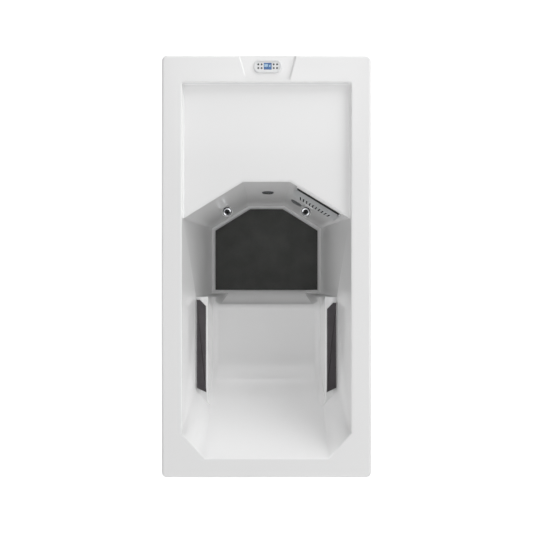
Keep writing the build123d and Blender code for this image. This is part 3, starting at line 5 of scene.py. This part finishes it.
import bmesh
import bpy
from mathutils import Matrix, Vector


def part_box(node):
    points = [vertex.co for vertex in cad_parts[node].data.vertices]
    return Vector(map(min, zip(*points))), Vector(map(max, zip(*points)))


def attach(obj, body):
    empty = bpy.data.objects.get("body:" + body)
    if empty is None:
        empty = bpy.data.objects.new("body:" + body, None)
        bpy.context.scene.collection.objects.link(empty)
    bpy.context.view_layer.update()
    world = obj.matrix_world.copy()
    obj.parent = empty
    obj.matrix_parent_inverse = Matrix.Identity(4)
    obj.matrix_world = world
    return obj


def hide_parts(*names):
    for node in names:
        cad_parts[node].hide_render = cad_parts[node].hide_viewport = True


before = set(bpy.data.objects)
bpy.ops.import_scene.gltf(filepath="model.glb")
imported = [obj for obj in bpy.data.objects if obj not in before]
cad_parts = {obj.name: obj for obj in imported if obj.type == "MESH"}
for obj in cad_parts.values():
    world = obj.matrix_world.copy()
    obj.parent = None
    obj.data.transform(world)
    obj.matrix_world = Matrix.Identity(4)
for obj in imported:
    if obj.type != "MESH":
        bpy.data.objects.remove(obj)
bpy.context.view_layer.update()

# Camera: straight above the middle of the tub and looking straight down, about two and a
# half metres over the rim, with a normal lens.
scene = bpy.context.scene
camera_data = bpy.data.cameras.new("overhead_camera")
camera_data.sensor_width = 36.0
camera_data.lens = 36.36
camera = bpy.data.objects.new("overhead_camera", camera_data)
camera_height = 3.425
camera.location = (0.0, 0.0, camera_height)
scene.collection.objects.link(camera)
scene.camera = camera
scene.view_settings.view_transform = "Standard"


def linear(hex_colour):
    """Linear colour with alpha from an sRGB hex value."""
    channels = [int(hex_colour[place:place + 2], 16) / 255 for place in (1, 3, 5)]
    return [c / 12.92 if c <= 0.04045 else ((c + 0.055) / 1.055) ** 2.4 for c in channels] + [1.0]


def blank_material(name):
    """Material with an empty node tree."""
    made = bpy.data.materials.new(name)
    made.use_nodes = True
    made.node_tree.nodes.clear()
    return made


def node(material, kind, inputs=None, **settings):
    """Adds one node with its settings, input values and links from other nodes' outputs."""
    made = material.node_tree.nodes.new(kind)
    for name, value in settings.items():
        setattr(made, name, value)
    for name, value in (inputs or {}).items():
        if isinstance(value, bpy.types.NodeSocket):
            material.node_tree.links.new(value, made.inputs[name])
        else:
            made.inputs[name].default_value = value
    return made


# Light: wide soft boxes all round a pale room, the strongest beyond the far right corner
# and behind the seat. The floor is studio paper, which stays white and takes the shadow.
def soft_lamp(name, place, aim, size, power):
    """Square area lamp at a place, turned to a point."""
    data = bpy.data.lights.new(name, "AREA")
    data.size = size
    data.energy = power
    lamp = bpy.data.objects.new(name, data)
    lamp.location = place
    lamp.rotation_mode = "QUATERNION"
    lamp.rotation_quaternion = (Vector(aim) - Vector(place)).to_track_quat("-Z", "Y")
    scene.collection.objects.link(lamp)


soft_lamp("right_box", (3.4, 0.0, 3.4), (0.0, 0.0, 0.6), 3.0, 44.0)
soft_lamp("left_box", (-3.4, 0.0, 3.4), (0.0, 0.0, 0.6), 3.0, 34.0)
soft_lamp("far_box", (0.0, 5.0, 2.6), (0.0, -0.6, 0.7), 3.0, 52.0)
soft_lamp("far_right_box", (3.6, 4.0, 2.6), (0.0, -0.6, 0.7), 3.0, 118.0)
soft_lamp("near_box", (0.0, -5.0, 3.7), (0.0, 0.4, 0.6), 5.0, 112.0)
soft_lamp("overhead_box", (0.0, 2.6, 5.0), (0.0, 0.0, 0.5), 2.4, 20.0)

room = bpy.data.worlds.new("bright_room")
room.use_nodes = True
room.node_tree.nodes.clear()
room_rays = node(room, "ShaderNodeLightPath")
room_seen = node(room, "ShaderNodeMath", {0: room_rays.outputs["Is Camera Ray"],
                                          1: room_rays.outputs["Is Transmission Ray"]},
                 operation="MAXIMUM")
room_light = node(room, "ShaderNodeBackground", {"Color": linear("#FFFFFF"), "Strength": 0.2})
room_white = node(room, "ShaderNodeBackground", {"Color": (1, 1, 1, 1), "Strength": 1.0})
room_mix = node(room, "ShaderNodeMixShader", {0: room_seen.outputs[0], 1: room_light.outputs[0],
                                              2: room_white.outputs[0]})
node(room, "ShaderNodeOutputWorld", {"Surface": room_mix.outputs[0]})
scene.world = room

bpy.ops.object.select_all(action="DESELECT")
bpy.ops.mesh.primitive_plane_add(size=40.0, location=(0, 0, -0.001))
studio_floor = bpy.context.object
studio_floor.name = "studio_floor"
paper = blank_material("studio_paper")
paper_rays = node(paper, "ShaderNodeLightPath")
paper_glow = node(paper, "ShaderNodeEmission", {"Color": (1, 1, 1, 1), "Strength": 0.62})
paper_plain = node(paper, "ShaderNodeBsdfDiffuse", {"Color": linear("#F2F2F2")})
paper_lit = node(paper, "ShaderNodeAddShader", {0: paper_plain.outputs[0],
                                                1: paper_glow.outputs[0]})
paper_mix = node(paper, "ShaderNodeMixShader", {0: paper_rays.outputs["Is Camera Ray"],
                                                1: paper_plain.outputs[0],
                                                2: paper_lit.outputs[0]})
node(paper, "ShaderNodeOutputMaterial", {"Surface": paper_mix.outputs[0]})
studio_floor.data.materials.append(paper)


# Corners closer together than this, in metres, are one corner, and edges that turn by
# fewer degrees than this are smooth
weld_gap = 0.00002
smooth_angle = 32.0


def smooth_copy(source, angle=smooth_angle):
    """Merged copy of a CAD node's mesh, smooth over its curves and sharp at its edges.

    Its normals follow the larger faces, so that flat walls stay flat beside small curves.
    """
    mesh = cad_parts[source].data.copy()
    copy = bpy.data.objects.new(source + "_finished", mesh)
    scene.collection.objects.link(copy)
    mesh.materials.clear()
    work = bmesh.new()
    work.from_mesh(mesh)
    bmesh.ops.remove_doubles(work, verts=work.verts, dist=weld_gap)
    work.to_mesh(mesh)
    work.free()
    bpy.ops.object.select_all(action="DESELECT")
    copy.select_set(True)
    bpy.context.view_layer.objects.active = copy
    bpy.ops.object.shade_smooth_by_angle(angle=math.radians(angle))
    bpy.ops.object.modifier_add(type="WEIGHTED_NORMAL")
    copy.modifiers[-1].keep_sharp = True
    bpy.ops.object.modifier_apply(modifier=copy.modifiers[-1].name)
    return copy


def fit(piece, body, slot, *replaced):
    """Lets a piece move with its body and hides the solids it stands for; the slot it is given is
    not used.
    """
    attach(piece, body)
    if replaced:
        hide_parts(*replaced)


# Shell: one vacuum-formed sheet of white cast acrylic, backed with glass fibre. It
# hangs by its rolled rim on the cabinet and rests on foam under the footwell. A thin clear
# coat gives the soft sheen, and the very pale sheet throws light down into the footwell.
acrylic = blank_material("vacuum_formed_white_acrylic")
acrylic_place = node(acrylic, "ShaderNodeTexCoord")
# Stretched sheet: a very long, faint ripple of about 60 mm that bends the reflections
acrylic_ripple = node(acrylic, "ShaderNodeTexNoise", {"Vector": acrylic_place.outputs["Object"],
                                                      "Scale": 16.0, "Detail": 1.0})
acrylic_bump = node(acrylic, "ShaderNodeBump", {"Height": acrylic_ripple.outputs["Fac"],
                                                "Strength": 0.05, "Distance": 0.002})
acrylic_skin = node(acrylic, "ShaderNodeBsdfPrincipled",
                    {"Base Color": linear("#FCFCFC"), "Roughness": 0.2, "IOR": 1.49,
                     "Coat Weight": 0.25, "Coat Roughness": 0.06,
                     "Normal": acrylic_bump.outputs["Normal"]})
node(acrylic, "ShaderNodeOutputMaterial", {"Surface": acrylic_skin.outputs[0]})
shell = smooth_copy("shell")
shell.data.materials.append(acrylic)
fit(shell, "tub", "acrylic_white", "shell")


# Floor mat: a sheet of dark closed-cell foam cut to the footwell's floor and stuck
# down. Its skin is sanded to a fine grain for grip, and its top edge is barely broken.
def select_edges(piece, wanted):
    """In edit mode, selects only the edges whose two ends pass a test."""
    work = bmesh.from_edit_mesh(piece.data)
    bpy.ops.mesh.select_mode(type="EDGE")
    bpy.ops.mesh.select_all(action="DESELECT")
    for edge in work.edges:
        edge.select = wanted(*[corner.co for corner in edge.verts])
    work.select_flush_mode()
    bmesh.update_edit_mesh(piece.data)


def cut_sheet(name, low, high, cuts, corner, bevel):
    """Flat foam piece between two corners of its box, cut along lines given by a point and
    an outward direction, with its upright edges rounded and its top edge bevelled.
    """
    bpy.ops.object.select_all(action="DESELECT")
    bpy.ops.mesh.primitive_plane_add(size=1.0, location=(0, 0, 0))
    sheet = bpy.context.object
    sheet.name = name
    bpy.ops.object.mode_set(mode="EDIT")
    bpy.ops.transform.resize(value=(high[0] - low[0], high[1] - low[1], 1.0))
    bpy.ops.transform.translate(value=((low[0] + high[0]) / 2, (low[1] + high[1]) / 2, low[2]))
    for point, outward in cuts:
        bpy.ops.mesh.select_all(action="SELECT")
        bpy.ops.mesh.bisect(plane_co=point, plane_no=outward, clear_outer=True)
    bpy.ops.mesh.select_all(action="SELECT")
    bpy.ops.mesh.extrude_region_move(TRANSFORM_OT_translate={"value": (0, 0, high[2] - low[2])})
    select_edges(sheet, lambda a, b: abs(a.z - b.z) > 0.001)
    bpy.ops.mesh.bevel(offset=corner, segments=5)
    select_edges(sheet, lambda a, b: min(a.z, b.z) > high[2] - 0.0001)
    bpy.ops.mesh.bevel(offset=bevel, segments=3)
    bpy.ops.mesh.select_all(action="SELECT")
    bpy.ops.mesh.normals_make_consistent(inside=False)
    bpy.ops.object.mode_set(mode="OBJECT")
    bpy.ops.object.shade_smooth_by_angle(angle=math.radians(30))
    return sheet


# Closed-cell foam, for the charcoal sheets, their pale lower layer and the blue block: two
# matte tones with pits about 1.5 mm apart, drawn at 4 mm so that they show, over soft clouds
def foam_finish(name, dark, pale):
    """Material of sanded or cut foam between two tones."""
    foam = blank_material(name)
    place = node(foam, "ShaderNodeTexCoord")
    grain = node(foam, "ShaderNodeTexNoise", {"Vector": place.outputs["Object"], "Scale": 260.0,
                                              "Detail": 4.0, "Roughness": 0.65})
    cloud = node(foam, "ShaderNodeTexNoise", {"Vector": place.outputs["Object"], "Scale": 9.0,
                                              "Detail": 3.0})
    tone = node(foam, "ShaderNodeMath", {0: grain.outputs["Fac"], 1: cloud.outputs["Fac"]},
                operation="ADD")
    shade = node(foam, "ShaderNodeMapRange", {"Value": tone.outputs[0], "From Min": 0.7,
                                              "From Max": 1.3})
    colour = node(foam, "ShaderNodeMixRGB", {"Fac": shade.outputs["Result"],
                                             "Color1": linear(dark), "Color2": linear(pale)})
    relief = node(foam, "ShaderNodeBump", {"Height": grain.outputs["Fac"], "Strength": 0.5,
                                           "Distance": 0.0006})
    skin = node(foam, "ShaderNodeBsdfPrincipled", {"Base Color": colour.outputs["Color"],
                                                   "Roughness": 0.78, "IOR": 1.5,
                                                   "Normal": relief.outputs["Normal"]})
    node(foam, "ShaderNodeOutputMaterial", {"Surface": skin.outputs[0]})
    return foam


mat_low, mat_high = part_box("floor_mat")
foam_corner = 0.0012
mat_bevel = 0.0008
# Ends of the mat's slanting edge on the right, under the slanting wall
mat_turn = Vector((0.0998, 0.3547, 0.0))
mat_side = Vector((0.315, 0.2216, 0.0))
mat_run = (mat_side - mat_turn).normalized()
mat_cuts = []
for hand in (-1, 1):
    mat_cuts.append(((hand * mat_side.x, mat_side.y, 0.0), (-hand * mat_run.y, mat_run.x, 0.0)))
floor_mat = cut_sheet("floor_mat_foam", mat_low, mat_high, mat_cuts, foam_corner, mat_bevel)
floor_mat.data.materials.append(foam_finish("sanded_charcoal_foam", "#484947", "#585957"))
fit(floor_mat, "tub", "foam_dark", "floor_mat")

# Arm pads: two strips of two-layer foam, cut away at the front inner corner and slanting
# at the rear, stuck on the shelves beside the seat. Routed edges bare the pale lower layer.
pad_finish = foam_finish("skinned_charcoal_foam", "#494548", "#565255")
pad_core = foam_finish("pale_grey_foam", "#E2E2E2", "#F0F0F0")
# Each pad stands out past its solid by this much, its front inner corner is cut back by
# two lengths, and its rear edge runs between two places along the tub. Faces that look up
# or down more squarely than the last value are flat.
pad_spread = Vector((0.0025, 0.0015, 0.0))
pad_nose_cut = 0.033
pad_heel_cut = 0.034
pad_rear_inner = -0.658
pad_rear_outer = -0.634
pad_bevel = 0.0024
flat_facing = 0.98
for hand, side in ((-1, "left"), (1, "right")):
    pad_low = Vector(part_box("arm_pad_" + side)[0]) - pad_spread
    pad_high = Vector(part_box("arm_pad_" + side)[1]) + pad_spread
    inner = pad_low[0] if hand > 0 else pad_high[0]
    outer = pad_high[0] if hand > 0 else pad_low[0]
    front = pad_high[1]
    nose = Vector((inner + hand * pad_nose_cut, front, 0.0))
    heel = Vector((inner, front - pad_heel_cut, 0.0))
    tail_inner = Vector((inner, pad_rear_inner, 0.0))
    tail_outer = Vector((outer, pad_rear_outer, 0.0))
    middle = Vector(((inner + outer) / 2, (front + pad_rear_inner) / 2, 0.0))
    cuts = []
    for start, finish in ((nose, heel), (tail_inner, tail_outer)):
        run = (finish - start).normalized()
        outward = Vector((run.y, -run.x, 0.0))
        if outward.dot(start - middle) < 0:
            outward = -outward
        cuts.append((tuple(start), tuple(outward)))
    pad = cut_sheet("arm_pad_foam_" + side, pad_low, pad_high, cuts, foam_corner, pad_bevel)
    pad.data.materials.append(pad_finish)
    pad.data.materials.append(pad_core)
    # Only the flat top and foot keep the dark skin
    for face in pad.data.polygons:
        face.material_index = int(abs(face.normal.z) < flat_facing)
    fit(pad, "tub", "foam_dark", "arm_pad_" + side)

# Control panel: a white moulded bezel stuck in the rim's pocket, with a blue liquid-
# crystal window in the middle and four round rubber keys on each side of it.
def moulded_plastic(name, colour, roughness, grain=0.15):
    """Moulded plastic: even colour, a spark-eroded grain of about 0.8 mm and cloudy polish."""
    plastic = blank_material(name)
    place = node(plastic, "ShaderNodeTexCoord")
    fine = node(plastic, "ShaderNodeTexNoise", {"Vector": place.outputs["Object"],
                                                "Scale": 1200.0, "Detail": 2.0})
    relief = node(plastic, "ShaderNodeBump", {"Height": fine.outputs["Fac"], "Strength": grain,
                                              "Distance": 0.0002})
    patch = node(plastic, "ShaderNodeTexNoise", {"Vector": place.outputs["Object"],
                                                 "Scale": 30.0, "Detail": 2.0})
    polish = node(plastic, "ShaderNodeMapRange", {"Value": patch.outputs["Fac"],
                                                  "To Min": roughness - 0.05,
                                                  "To Max": roughness + 0.05})
    skin = node(plastic, "ShaderNodeBsdfPrincipled", {"Base Color": linear(colour), "IOR": 1.5,
                                                      "Roughness": polish.outputs["Result"],
                                                      "Normal": relief.outputs["Normal"]})
    node(plastic, "ShaderNodeOutputMaterial", {"Surface": skin.outputs[0]})
    return plastic


def finished_copy(source, body, slot, material, angle=smooth_angle):
    """Smoothed copy of a solid with its material, in the solid's place."""
    copy = smooth_copy(source, angle)
    copy.data.materials.append(material)
    fit(copy, body, slot, source)
    return copy


bezel_white = moulded_plastic("abs_white", "#F2F3F4", 0.3)
finished_copy("control_bezel", "tub", "plastic_white", bezel_white)

# Liquid-crystal window: deep blue film under clear acrylic, with raised pale segments. A
# slow change between two blues over 25 mm gives the lit depth behind the glass.
window = blank_material("blue_lcd_window")
window_place = node(window, "ShaderNodeTexCoord")
window_fade = node(window, "ShaderNodeTexNoise", {"Vector": window_place.outputs["Object"],
                                                  "Scale": 40.0, "Detail": 1.0})
window_tone = node(window, "ShaderNodeMixRGB", {"Fac": window_fade.outputs["Fac"],
                                                "Color1": linear("#1B3F73"),
                                                "Color2": linear("#2F6BA8")})
window_skin = node(window, "ShaderNodeBsdfPrincipled",
                   {"Base Color": window_tone.outputs["Color"], "Roughness": 0.08, "IOR": 1.49,
                    "Emission Color": window_tone.outputs["Color"], "Emission Strength": 0.25,
                    "Coat Weight": 1.0, "Coat Roughness": 0.03})
node(window, "ShaderNodeOutputMaterial", {"Surface": window_skin.outputs[0]})
finished_copy("control_display", "tub", "display_glass", window)

segment_light = blank_material("lit_lcd_segment")
segment_skin = node(segment_light, "ShaderNodeBsdfPrincipled",
                    {"Base Color": linear("#CFEFF6"), "Emission Color": linear("#CFEFF6"),
                     "Emission Strength": 0.5, "Roughness": 0.3})
node(segment_light, "ShaderNodeOutputMaterial", {"Surface": segment_skin.outputs[0]})
display_low, display_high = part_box("control_display")
segment_shapes = {"top": (0, 1, 0), "middle": (0, 0, 0), "foot": (0, -1, 0),
                  "high_left": (-1, 0.5, 1), "high_right": (1, 0.5, 1),
                  "low_left": (-1, -0.5, 1), "low_right": (1, -0.5, 1)}
digits = {"8": list(segment_shapes), "0": [s for s in segment_shapes if s != "middle"]}
# Bars: width, cut corner, rise, and lengths as shares of the digit's half height and width
bar_width = 0.0013
bar_corner = 0.0005
bar_rise = 0.0002
upright_share = 0.82
level_share = 1.7


def digit_segments(number, centre, half_width, half_height):
    """Raised bars of one seven-segment digit on the window."""
    for shape in digits[number]:
        along, up, upright = segment_shapes[shape]
        bpy.ops.object.select_all(action="DESELECT")
        bpy.ops.mesh.primitive_plane_add(size=1.0, location=(0, 0, 0))
        bar = bpy.context.object
        bar.name = "lcd_segment"
        size = (half_width * level_share, bar_width, 1.0)
        if upright:
            size = (bar_width, half_height * upright_share, 1.0)
        bpy.ops.object.mode_set(mode="EDIT")
        bpy.ops.transform.resize(value=size)
        bpy.ops.mesh.bevel(offset=bar_corner, segments=1, affect="VERTICES")
        bpy.ops.mesh.select_all(action="SELECT")
        bpy.ops.mesh.extrude_region_move(TRANSFORM_OT_translate={"value": (0, 0, bar_rise)})
        bpy.ops.mesh.select_all(action="SELECT")
        bpy.ops.mesh.normals_make_consistent(inside=False)
        bpy.ops.transform.translate(value=(centre[0] + along * half_width,
                                           centre[1] + up * half_height, centre[2]))
        bpy.ops.object.mode_set(mode="OBJECT")
        bar.data.materials.append(segment_light)
        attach(bar, "tub")


display_middle = [(display_low[axis] + display_high[axis]) / 2 for axis in (0, 1)]
bar_sink = 0.00005
digit_level = display_high[2] - bar_sink
# Two large digits on the left of the window and a small one on the right
for number, aside, up, half_width, half_height in (("8", -0.0115, 0.003, 0.0028, 0.0055),
                                                   ("8", -0.0035, 0.003, 0.0028, 0.0055),
                                                   ("0", 0.0095, 0.0015, 0.0022, 0.004)):
    place = (display_middle[0] + aside, display_middle[1] + up, digit_level)
    digit_segments(number, place, half_width, half_height)

key_rubber = moulded_plastic("silicone_key_dark", "#3A3D40", 0.6, 0.3)
for key in ("power", "pump", "up", "light", "ozone", "timer", "down", "lock"):
    finished_copy("button_" + key, "button_" + key, "plastic_dark", key_rubber)

# Skimmer: a moulded grey plate, the walls of its slots painted black as the shade inside them,
# screwed over a black rubber gasket. Behind it are the black body, the floating flap and the
# cartridge.
grey_plastic = moulded_plastic("abs_skimmer_grey", "#BCBEBF", 0.42, 0.25)
dark_plastic = moulded_plastic("abs_dark", "#202224", 0.45, 0.25)
white_plastic = moulded_plastic("abs_fitting_white", "#E4E6E8", 0.35)
# Black rubber for the gasket; also the painted shade in the skimmer's slots and round the jet
# rings
black_rubber_and_shade = moulded_plastic("black_rubber_and_painted_shade", "#0E0E0F", 0.7, 0.4)
plate = finished_copy("skimmer_face", "tub", "plastic_grey", grey_plastic)
plate.data.materials.append(black_rubber_and_shade)
# Painted shade: black on the faces round the slots that don't look out into the tub, standing for
# the shade inside the slots, within this far along the plate from its middle and between these
# heights under and over it
plate_out = Vector((-0.5223, -0.8524, 0.0244))
plate_along = Vector((0.8526, -0.5225, 0.0))
open_facing = 0.35
slots_reach = 0.1175
slots_foot = -0.088
slots_top = 0.06
plate_middle = (Vector(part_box("skimmer_face")[0]) + Vector(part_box("skimmer_face")[1])) / 2
for face in plate.data.polygons:
    aside = (face.center - plate_middle).dot(plate_along)
    above = face.center.z - plate_middle.z
    slot_shade = face.normal.dot(plate_out) < open_facing and abs(aside) < slots_reach
    face.material_index = int(slot_shade and slots_foot < above < slots_top)
finished_copy("skimmer_gasket", "tub", "rubber_black", black_rubber_and_shade)
finished_copy("skimmer_body", "tub", "plastic_dark", dark_plastic)
finished_copy("weir_flap", "weir_flap", "plastic_dark", dark_plastic)

# Zinc-plated steel: soft grey metal, its polish uneven in patches of about 2 mm
steel = blank_material("zinc_plated_steel")
steel_place = node(steel, "ShaderNodeTexCoord")
steel_marks = node(steel, "ShaderNodeTexNoise", {"Vector": steel_place.outputs["Object"],
                                                 "Scale": 500.0, "Detail": 3.0})
steel_polish = node(steel, "ShaderNodeMapRange", {"Value": steel_marks.outputs["Fac"],
                                                  "To Min": 0.25, "To Max": 0.42})
steel_skin = node(steel, "ShaderNodeBsdfPrincipled", {"Base Color": linear("#B9BBBC"),
                                                      "Metallic": 1.0,
                                                      "Roughness": steel_polish.outputs["Result"]})
node(steel, "ShaderNodeOutputMaterial", {"Surface": steel_skin.outputs[0]})
finished_copy("skimmer_screws", "tub", "steel", steel)

# Spun-bonded filter paper: off-white with fibres a millimetre or two long
paper_filter = blank_material("spunbonded_filter_paper")
filter_place = node(paper_filter, "ShaderNodeTexCoord")
filter_fibre = node(paper_filter, "ShaderNodeTexNoise", {"Vector": filter_place.outputs["Object"],
                                                         "Scale": 700.0, "Detail": 5.0})
filter_relief = node(paper_filter, "ShaderNodeBump", {"Height": filter_fibre.outputs["Fac"],
                                                      "Strength": 0.4, "Distance": 0.0005})
filter_skin = node(paper_filter, "ShaderNodeBsdfPrincipled",
                   {"Base Color": linear("#E9E8E0"), "Roughness": 0.9,
                    "Normal": filter_relief.outputs["Normal"]})
node(paper_filter, "ShaderNodeOutputMaterial", {"Surface": filter_skin.outputs[0]})
finished_copy("filter_cartridge", "tub", "paper_white", paper_filter)

# Suction and lamp: a grey grille over its white body in the right-hand slanting wall,
# and a smoked polycarbonate lens over its housing in the end wall.
grille_grey = moulded_plastic("abs_grille_grey", "#6E7072", 0.4)
finished_copy("suction_cover", "tub", "plastic_grey", grille_grey)
finished_copy("suction_body", "tub", "plastic_white", white_plastic)
lens = blank_material("smoked_polycarbonate_lens")
lens_place = node(lens, "ShaderNodeTexCoord")
# Pillow optics moulded inside the lens, 6 mm apart, seen as a faint ripple
lens_pillow = node(lens, "ShaderNodeTexVoronoi", {"Vector": lens_place.outputs["Object"],
                                                  "Scale": 160.0})
lens_relief = node(lens, "ShaderNodeBump", {"Height": lens_pillow.outputs["Distance"],
                                            "Strength": 0.3, "Distance": 0.001})
lens_skin = node(lens, "ShaderNodeBsdfPrincipled",
                 {"Base Color": linear("#5E6265"), "Roughness": 0.12, "IOR": 1.58,
                  "Transmission Weight": 0.35, "Normal": lens_relief.outputs["Normal"]})
node(lens, "ShaderNodeOutputMaterial", {"Surface": lens_skin.outputs[0]})
finished_copy("light_lens", "tub", "lens_clear", lens)
finished_copy("light_housing", "tub", "plastic_dark", dark_plastic)

# Jets: a white body glued in each moulded pod, a chromed ring that turns on it, its outer lip
# painted black as the shadow in the gap round it, and a dark ball nozzle that tilts in the ring.
chrome = blank_material("bright_chrome_on_abs")
chrome_place = node(chrome, "ShaderNodeTexCoord")
# Water spots: roughness varies in patches of a few millimetres
chrome_spots = node(chrome, "ShaderNodeTexNoise", {"Vector": chrome_place.outputs["Object"],
                                                   "Scale": 180.0, "Detail": 3.0})
chrome_polish = node(chrome, "ShaderNodeMapRange", {"Value": chrome_spots.outputs["Fac"],
                                                    "To Min": 0.04, "To Max": 0.14})
chrome_skin = node(chrome, "ShaderNodeBsdfPrincipled",
                   {"Base Color": linear("#CFD1D4"), "Metallic": 1.0,
                    "Roughness": chrome_polish.outputs["Result"]})
node(chrome, "ShaderNodeOutputMaterial", {"Surface": chrome_skin.outputs[0]})
# Each ring is chrome up to this distance from its axis; beyond it the black is painted shade, the
# shadow in the gap round the ring
shaded_lip_reach = 0.0215
for hand, side in ((-1, "left"), (1, "right")):
    finished_copy("jet_body_" + side, "tub", "plastic_white", white_plastic)
    ring = finished_copy("jet_ring_" + side, "jet_ring_" + side, "chrome", chrome)
    ring.data.materials.append(black_rubber_and_shade)
    ring_axis = Vector((hand * 0.2092, 0.3414, -0.9164))
    ring_middle = Vector((hand * 0.21525, 0.30096, 0.52458))
    for face in ring.data.polygons:
        from_axis = (face.center - ring_middle).cross(ring_axis).length
        face.material_index = int(from_axis > shaded_lip_reach)
    finished_copy("jet_nozzle_" + side, "jet_nozzle_" + side, "plastic_dark", dark_plastic)

# Cabinet: grooved boards of dark grey wood-plastic between rounded corner posts, held
# by domed screws, over a moulded base pan on skids.
board = blank_material("brushed_wood_plastic_board")
board_place = node(board, "ShaderNodeTexCoord")
# Upright brush marks: streaks about 4.5 mm wide and 300 mm long
board_stretch = node(board, "ShaderNodeMapping", {"Vector": board_place.outputs["Object"],
                                                  "Scale": (220.0, 220.0, 3.0)})
board_streak = node(board, "ShaderNodeTexNoise", {"Vector": board_stretch.outputs["Vector"],
                                                  "Scale": 1.0, "Detail": 4.0})
board_tone = node(board, "ShaderNodeMixRGB", {"Fac": board_streak.outputs["Fac"],
                                              "Color1": linear("#46494B"),
                                              "Color2": linear("#606467")})
board_relief = node(board, "ShaderNodeBump", {"Height": board_streak.outputs["Fac"],
                                              "Strength": 0.35, "Distance": 0.0008})
board_skin = node(board, "ShaderNodeBsdfPrincipled", {"Base Color": board_tone.outputs["Color"],
                                                      "Roughness": 0.62,
                                                      "Normal": board_relief.outputs["Normal"]})
node(board, "ShaderNodeOutputMaterial", {"Surface": board_skin.outputs[0]})
# The boards are flat between their grooves, so nearly every edge stays sharp
board_angle = 3.0
for panel in ("panel_left", "panel_right", "panel_seat_end", "panel_equipment_end"):
    finished_copy(panel, "tub", "cabinet_grey", board, board_angle)
post_grey = moulded_plastic("pvc_post_grey", "#505355", 0.5)
finished_copy("corner_posts", "tub", "cabinet_grey", post_grey)
finished_copy("panel_screws", "tub", "steel", steel)
finished_copy("base_pan", "tub", "plastic_dark", dark_plastic)
finished_copy("cable_gland", "tub", "plastic_dark", dark_plastic)

# Frame: sawn softwood rails, studs, beam and props, glued and screwed, with a block of
# stiff foam under the footwell.
softwood = blank_material("sawn_spruce")
softwood_place = node(softwood, "ShaderNodeTexCoord")
# Grain: wavy streaks about 8 mm across, drawn out upright to about 125 mm
softwood_stretch = node(softwood, "ShaderNodeMapping", {"Vector": softwood_place.outputs["Object"],
                                                        "Scale": (60.0, 60.0, 4.0)})
softwood_ring = node(softwood, "ShaderNodeTexNoise", {"Vector": softwood_stretch.outputs["Vector"],
                                                      "Scale": 2.0, "Detail": 5.0,
                                                      "Distortion": 0.6})
softwood_tone = node(softwood, "ShaderNodeMixRGB", {"Fac": softwood_ring.outputs["Fac"],
                                                    "Color1": linear("#B88E5A"),
                                                    "Color2": linear("#E0C08C")})
softwood_skin = node(softwood, "ShaderNodeBsdfPrincipled",
                     {"Base Color": softwood_tone.outputs["Color"], "Roughness": 0.75})
node(softwood, "ShaderNodeOutputMaterial", {"Surface": softwood_skin.outputs[0]})
for timber in ("frame_rails_long", "frame_rails_short", "frame_studs", "seat_beam", "seat_props"):
    finished_copy(timber, "tub", "timber", softwood)
block_foam = foam_finish("extruded_polystyrene_blue", "#A9C4D6", "#B9D2E2")
finished_copy("foot_block", "tub", "foam_block", block_foam)

# Chiller: a steel tray with the compressor, a finned aluminium coil behind the louvres,
# its fan in a shroud, and the heat exchanger's plastic barrel.
def coated_metal(name, colour, roughness, metallic=0.0):
    """Metal with a thin coat: orange-peel ripple about 3 mm across."""
    coat = blank_material(name)
    place = node(coat, "ShaderNodeTexCoord")
    peel = node(coat, "ShaderNodeTexNoise", {"Vector": place.outputs["Object"], "Scale": 330.0})
    relief = node(coat, "ShaderNodeBump", {"Height": peel.outputs["Fac"], "Strength": 0.12,
                                           "Distance": 0.0003})
    skin = node(coat, "ShaderNodeBsdfPrincipled", {"Base Color": linear(colour),
                                                   "Metallic": metallic, "Roughness": roughness,
                                                   "Normal": relief.outputs["Normal"]})
    node(coat, "ShaderNodeOutputMaterial", {"Surface": skin.outputs[0]})
    return coat


black_enamel = coated_metal("black_enamelled_steel", "#17181A", 0.35)
grey_enamel = coated_metal("grey_enamelled_steel", "#8A8D8F", 0.4)
finished_copy("chiller_base", "tub", "metal_grey", grey_enamel)
finished_copy("compressor", "tub", "metal_black", black_enamel)
fin_aluminium = coated_metal("rolled_aluminium_fin", "#C9CBCD", 0.38, 1.0)
finished_copy("condenser_coil", "tub", "aluminium", fin_aluminium)
finished_copy("fan_shroud", "tub", "plastic_dark", dark_plastic)
finished_copy("condenser_fan", "condenser_fan", "plastic_dark", dark_plastic)
finished_copy("fan_motor", "tub", "metal_black", black_enamel)
finished_copy("heat_exchanger", "tub", "plastic_dark", dark_plastic)

# Water circuit: the pump with its finned motor, solvent-welded white pipe, the jets'
# hoses and the drain valve with its red handle.
finished_copy("pump_wet_end", "tub", "plastic_dark", dark_plastic)
finished_copy("pump_motor", "tub", "metal_grey", grey_enamel)
pipe_plastic = moulded_plastic("pvc_pipe_white", "#DFE1E2", 0.3, 0.05)
for pipe in ("pipe_to_pump", "pipe_to_chiller", "pipe_to_jets"):
    finished_copy(pipe, "tub", "plastic_white", pipe_plastic)
finished_copy("drain_valve", "tub", "plastic_dark", dark_plastic)
handle_red = moulded_plastic("abs_red", "#A02018", 0.35)
finished_copy("drain_handle", "drain_handle", "handle_red", handle_red)

# Electrics: the grey control box and the white ozone generator, each screwed to a stud.
finished_copy("control_box", "tub", "plastic_grey", grey_plastic)
finished_copy("ozone_generator", "tub", "plastic_white", white_plastic)
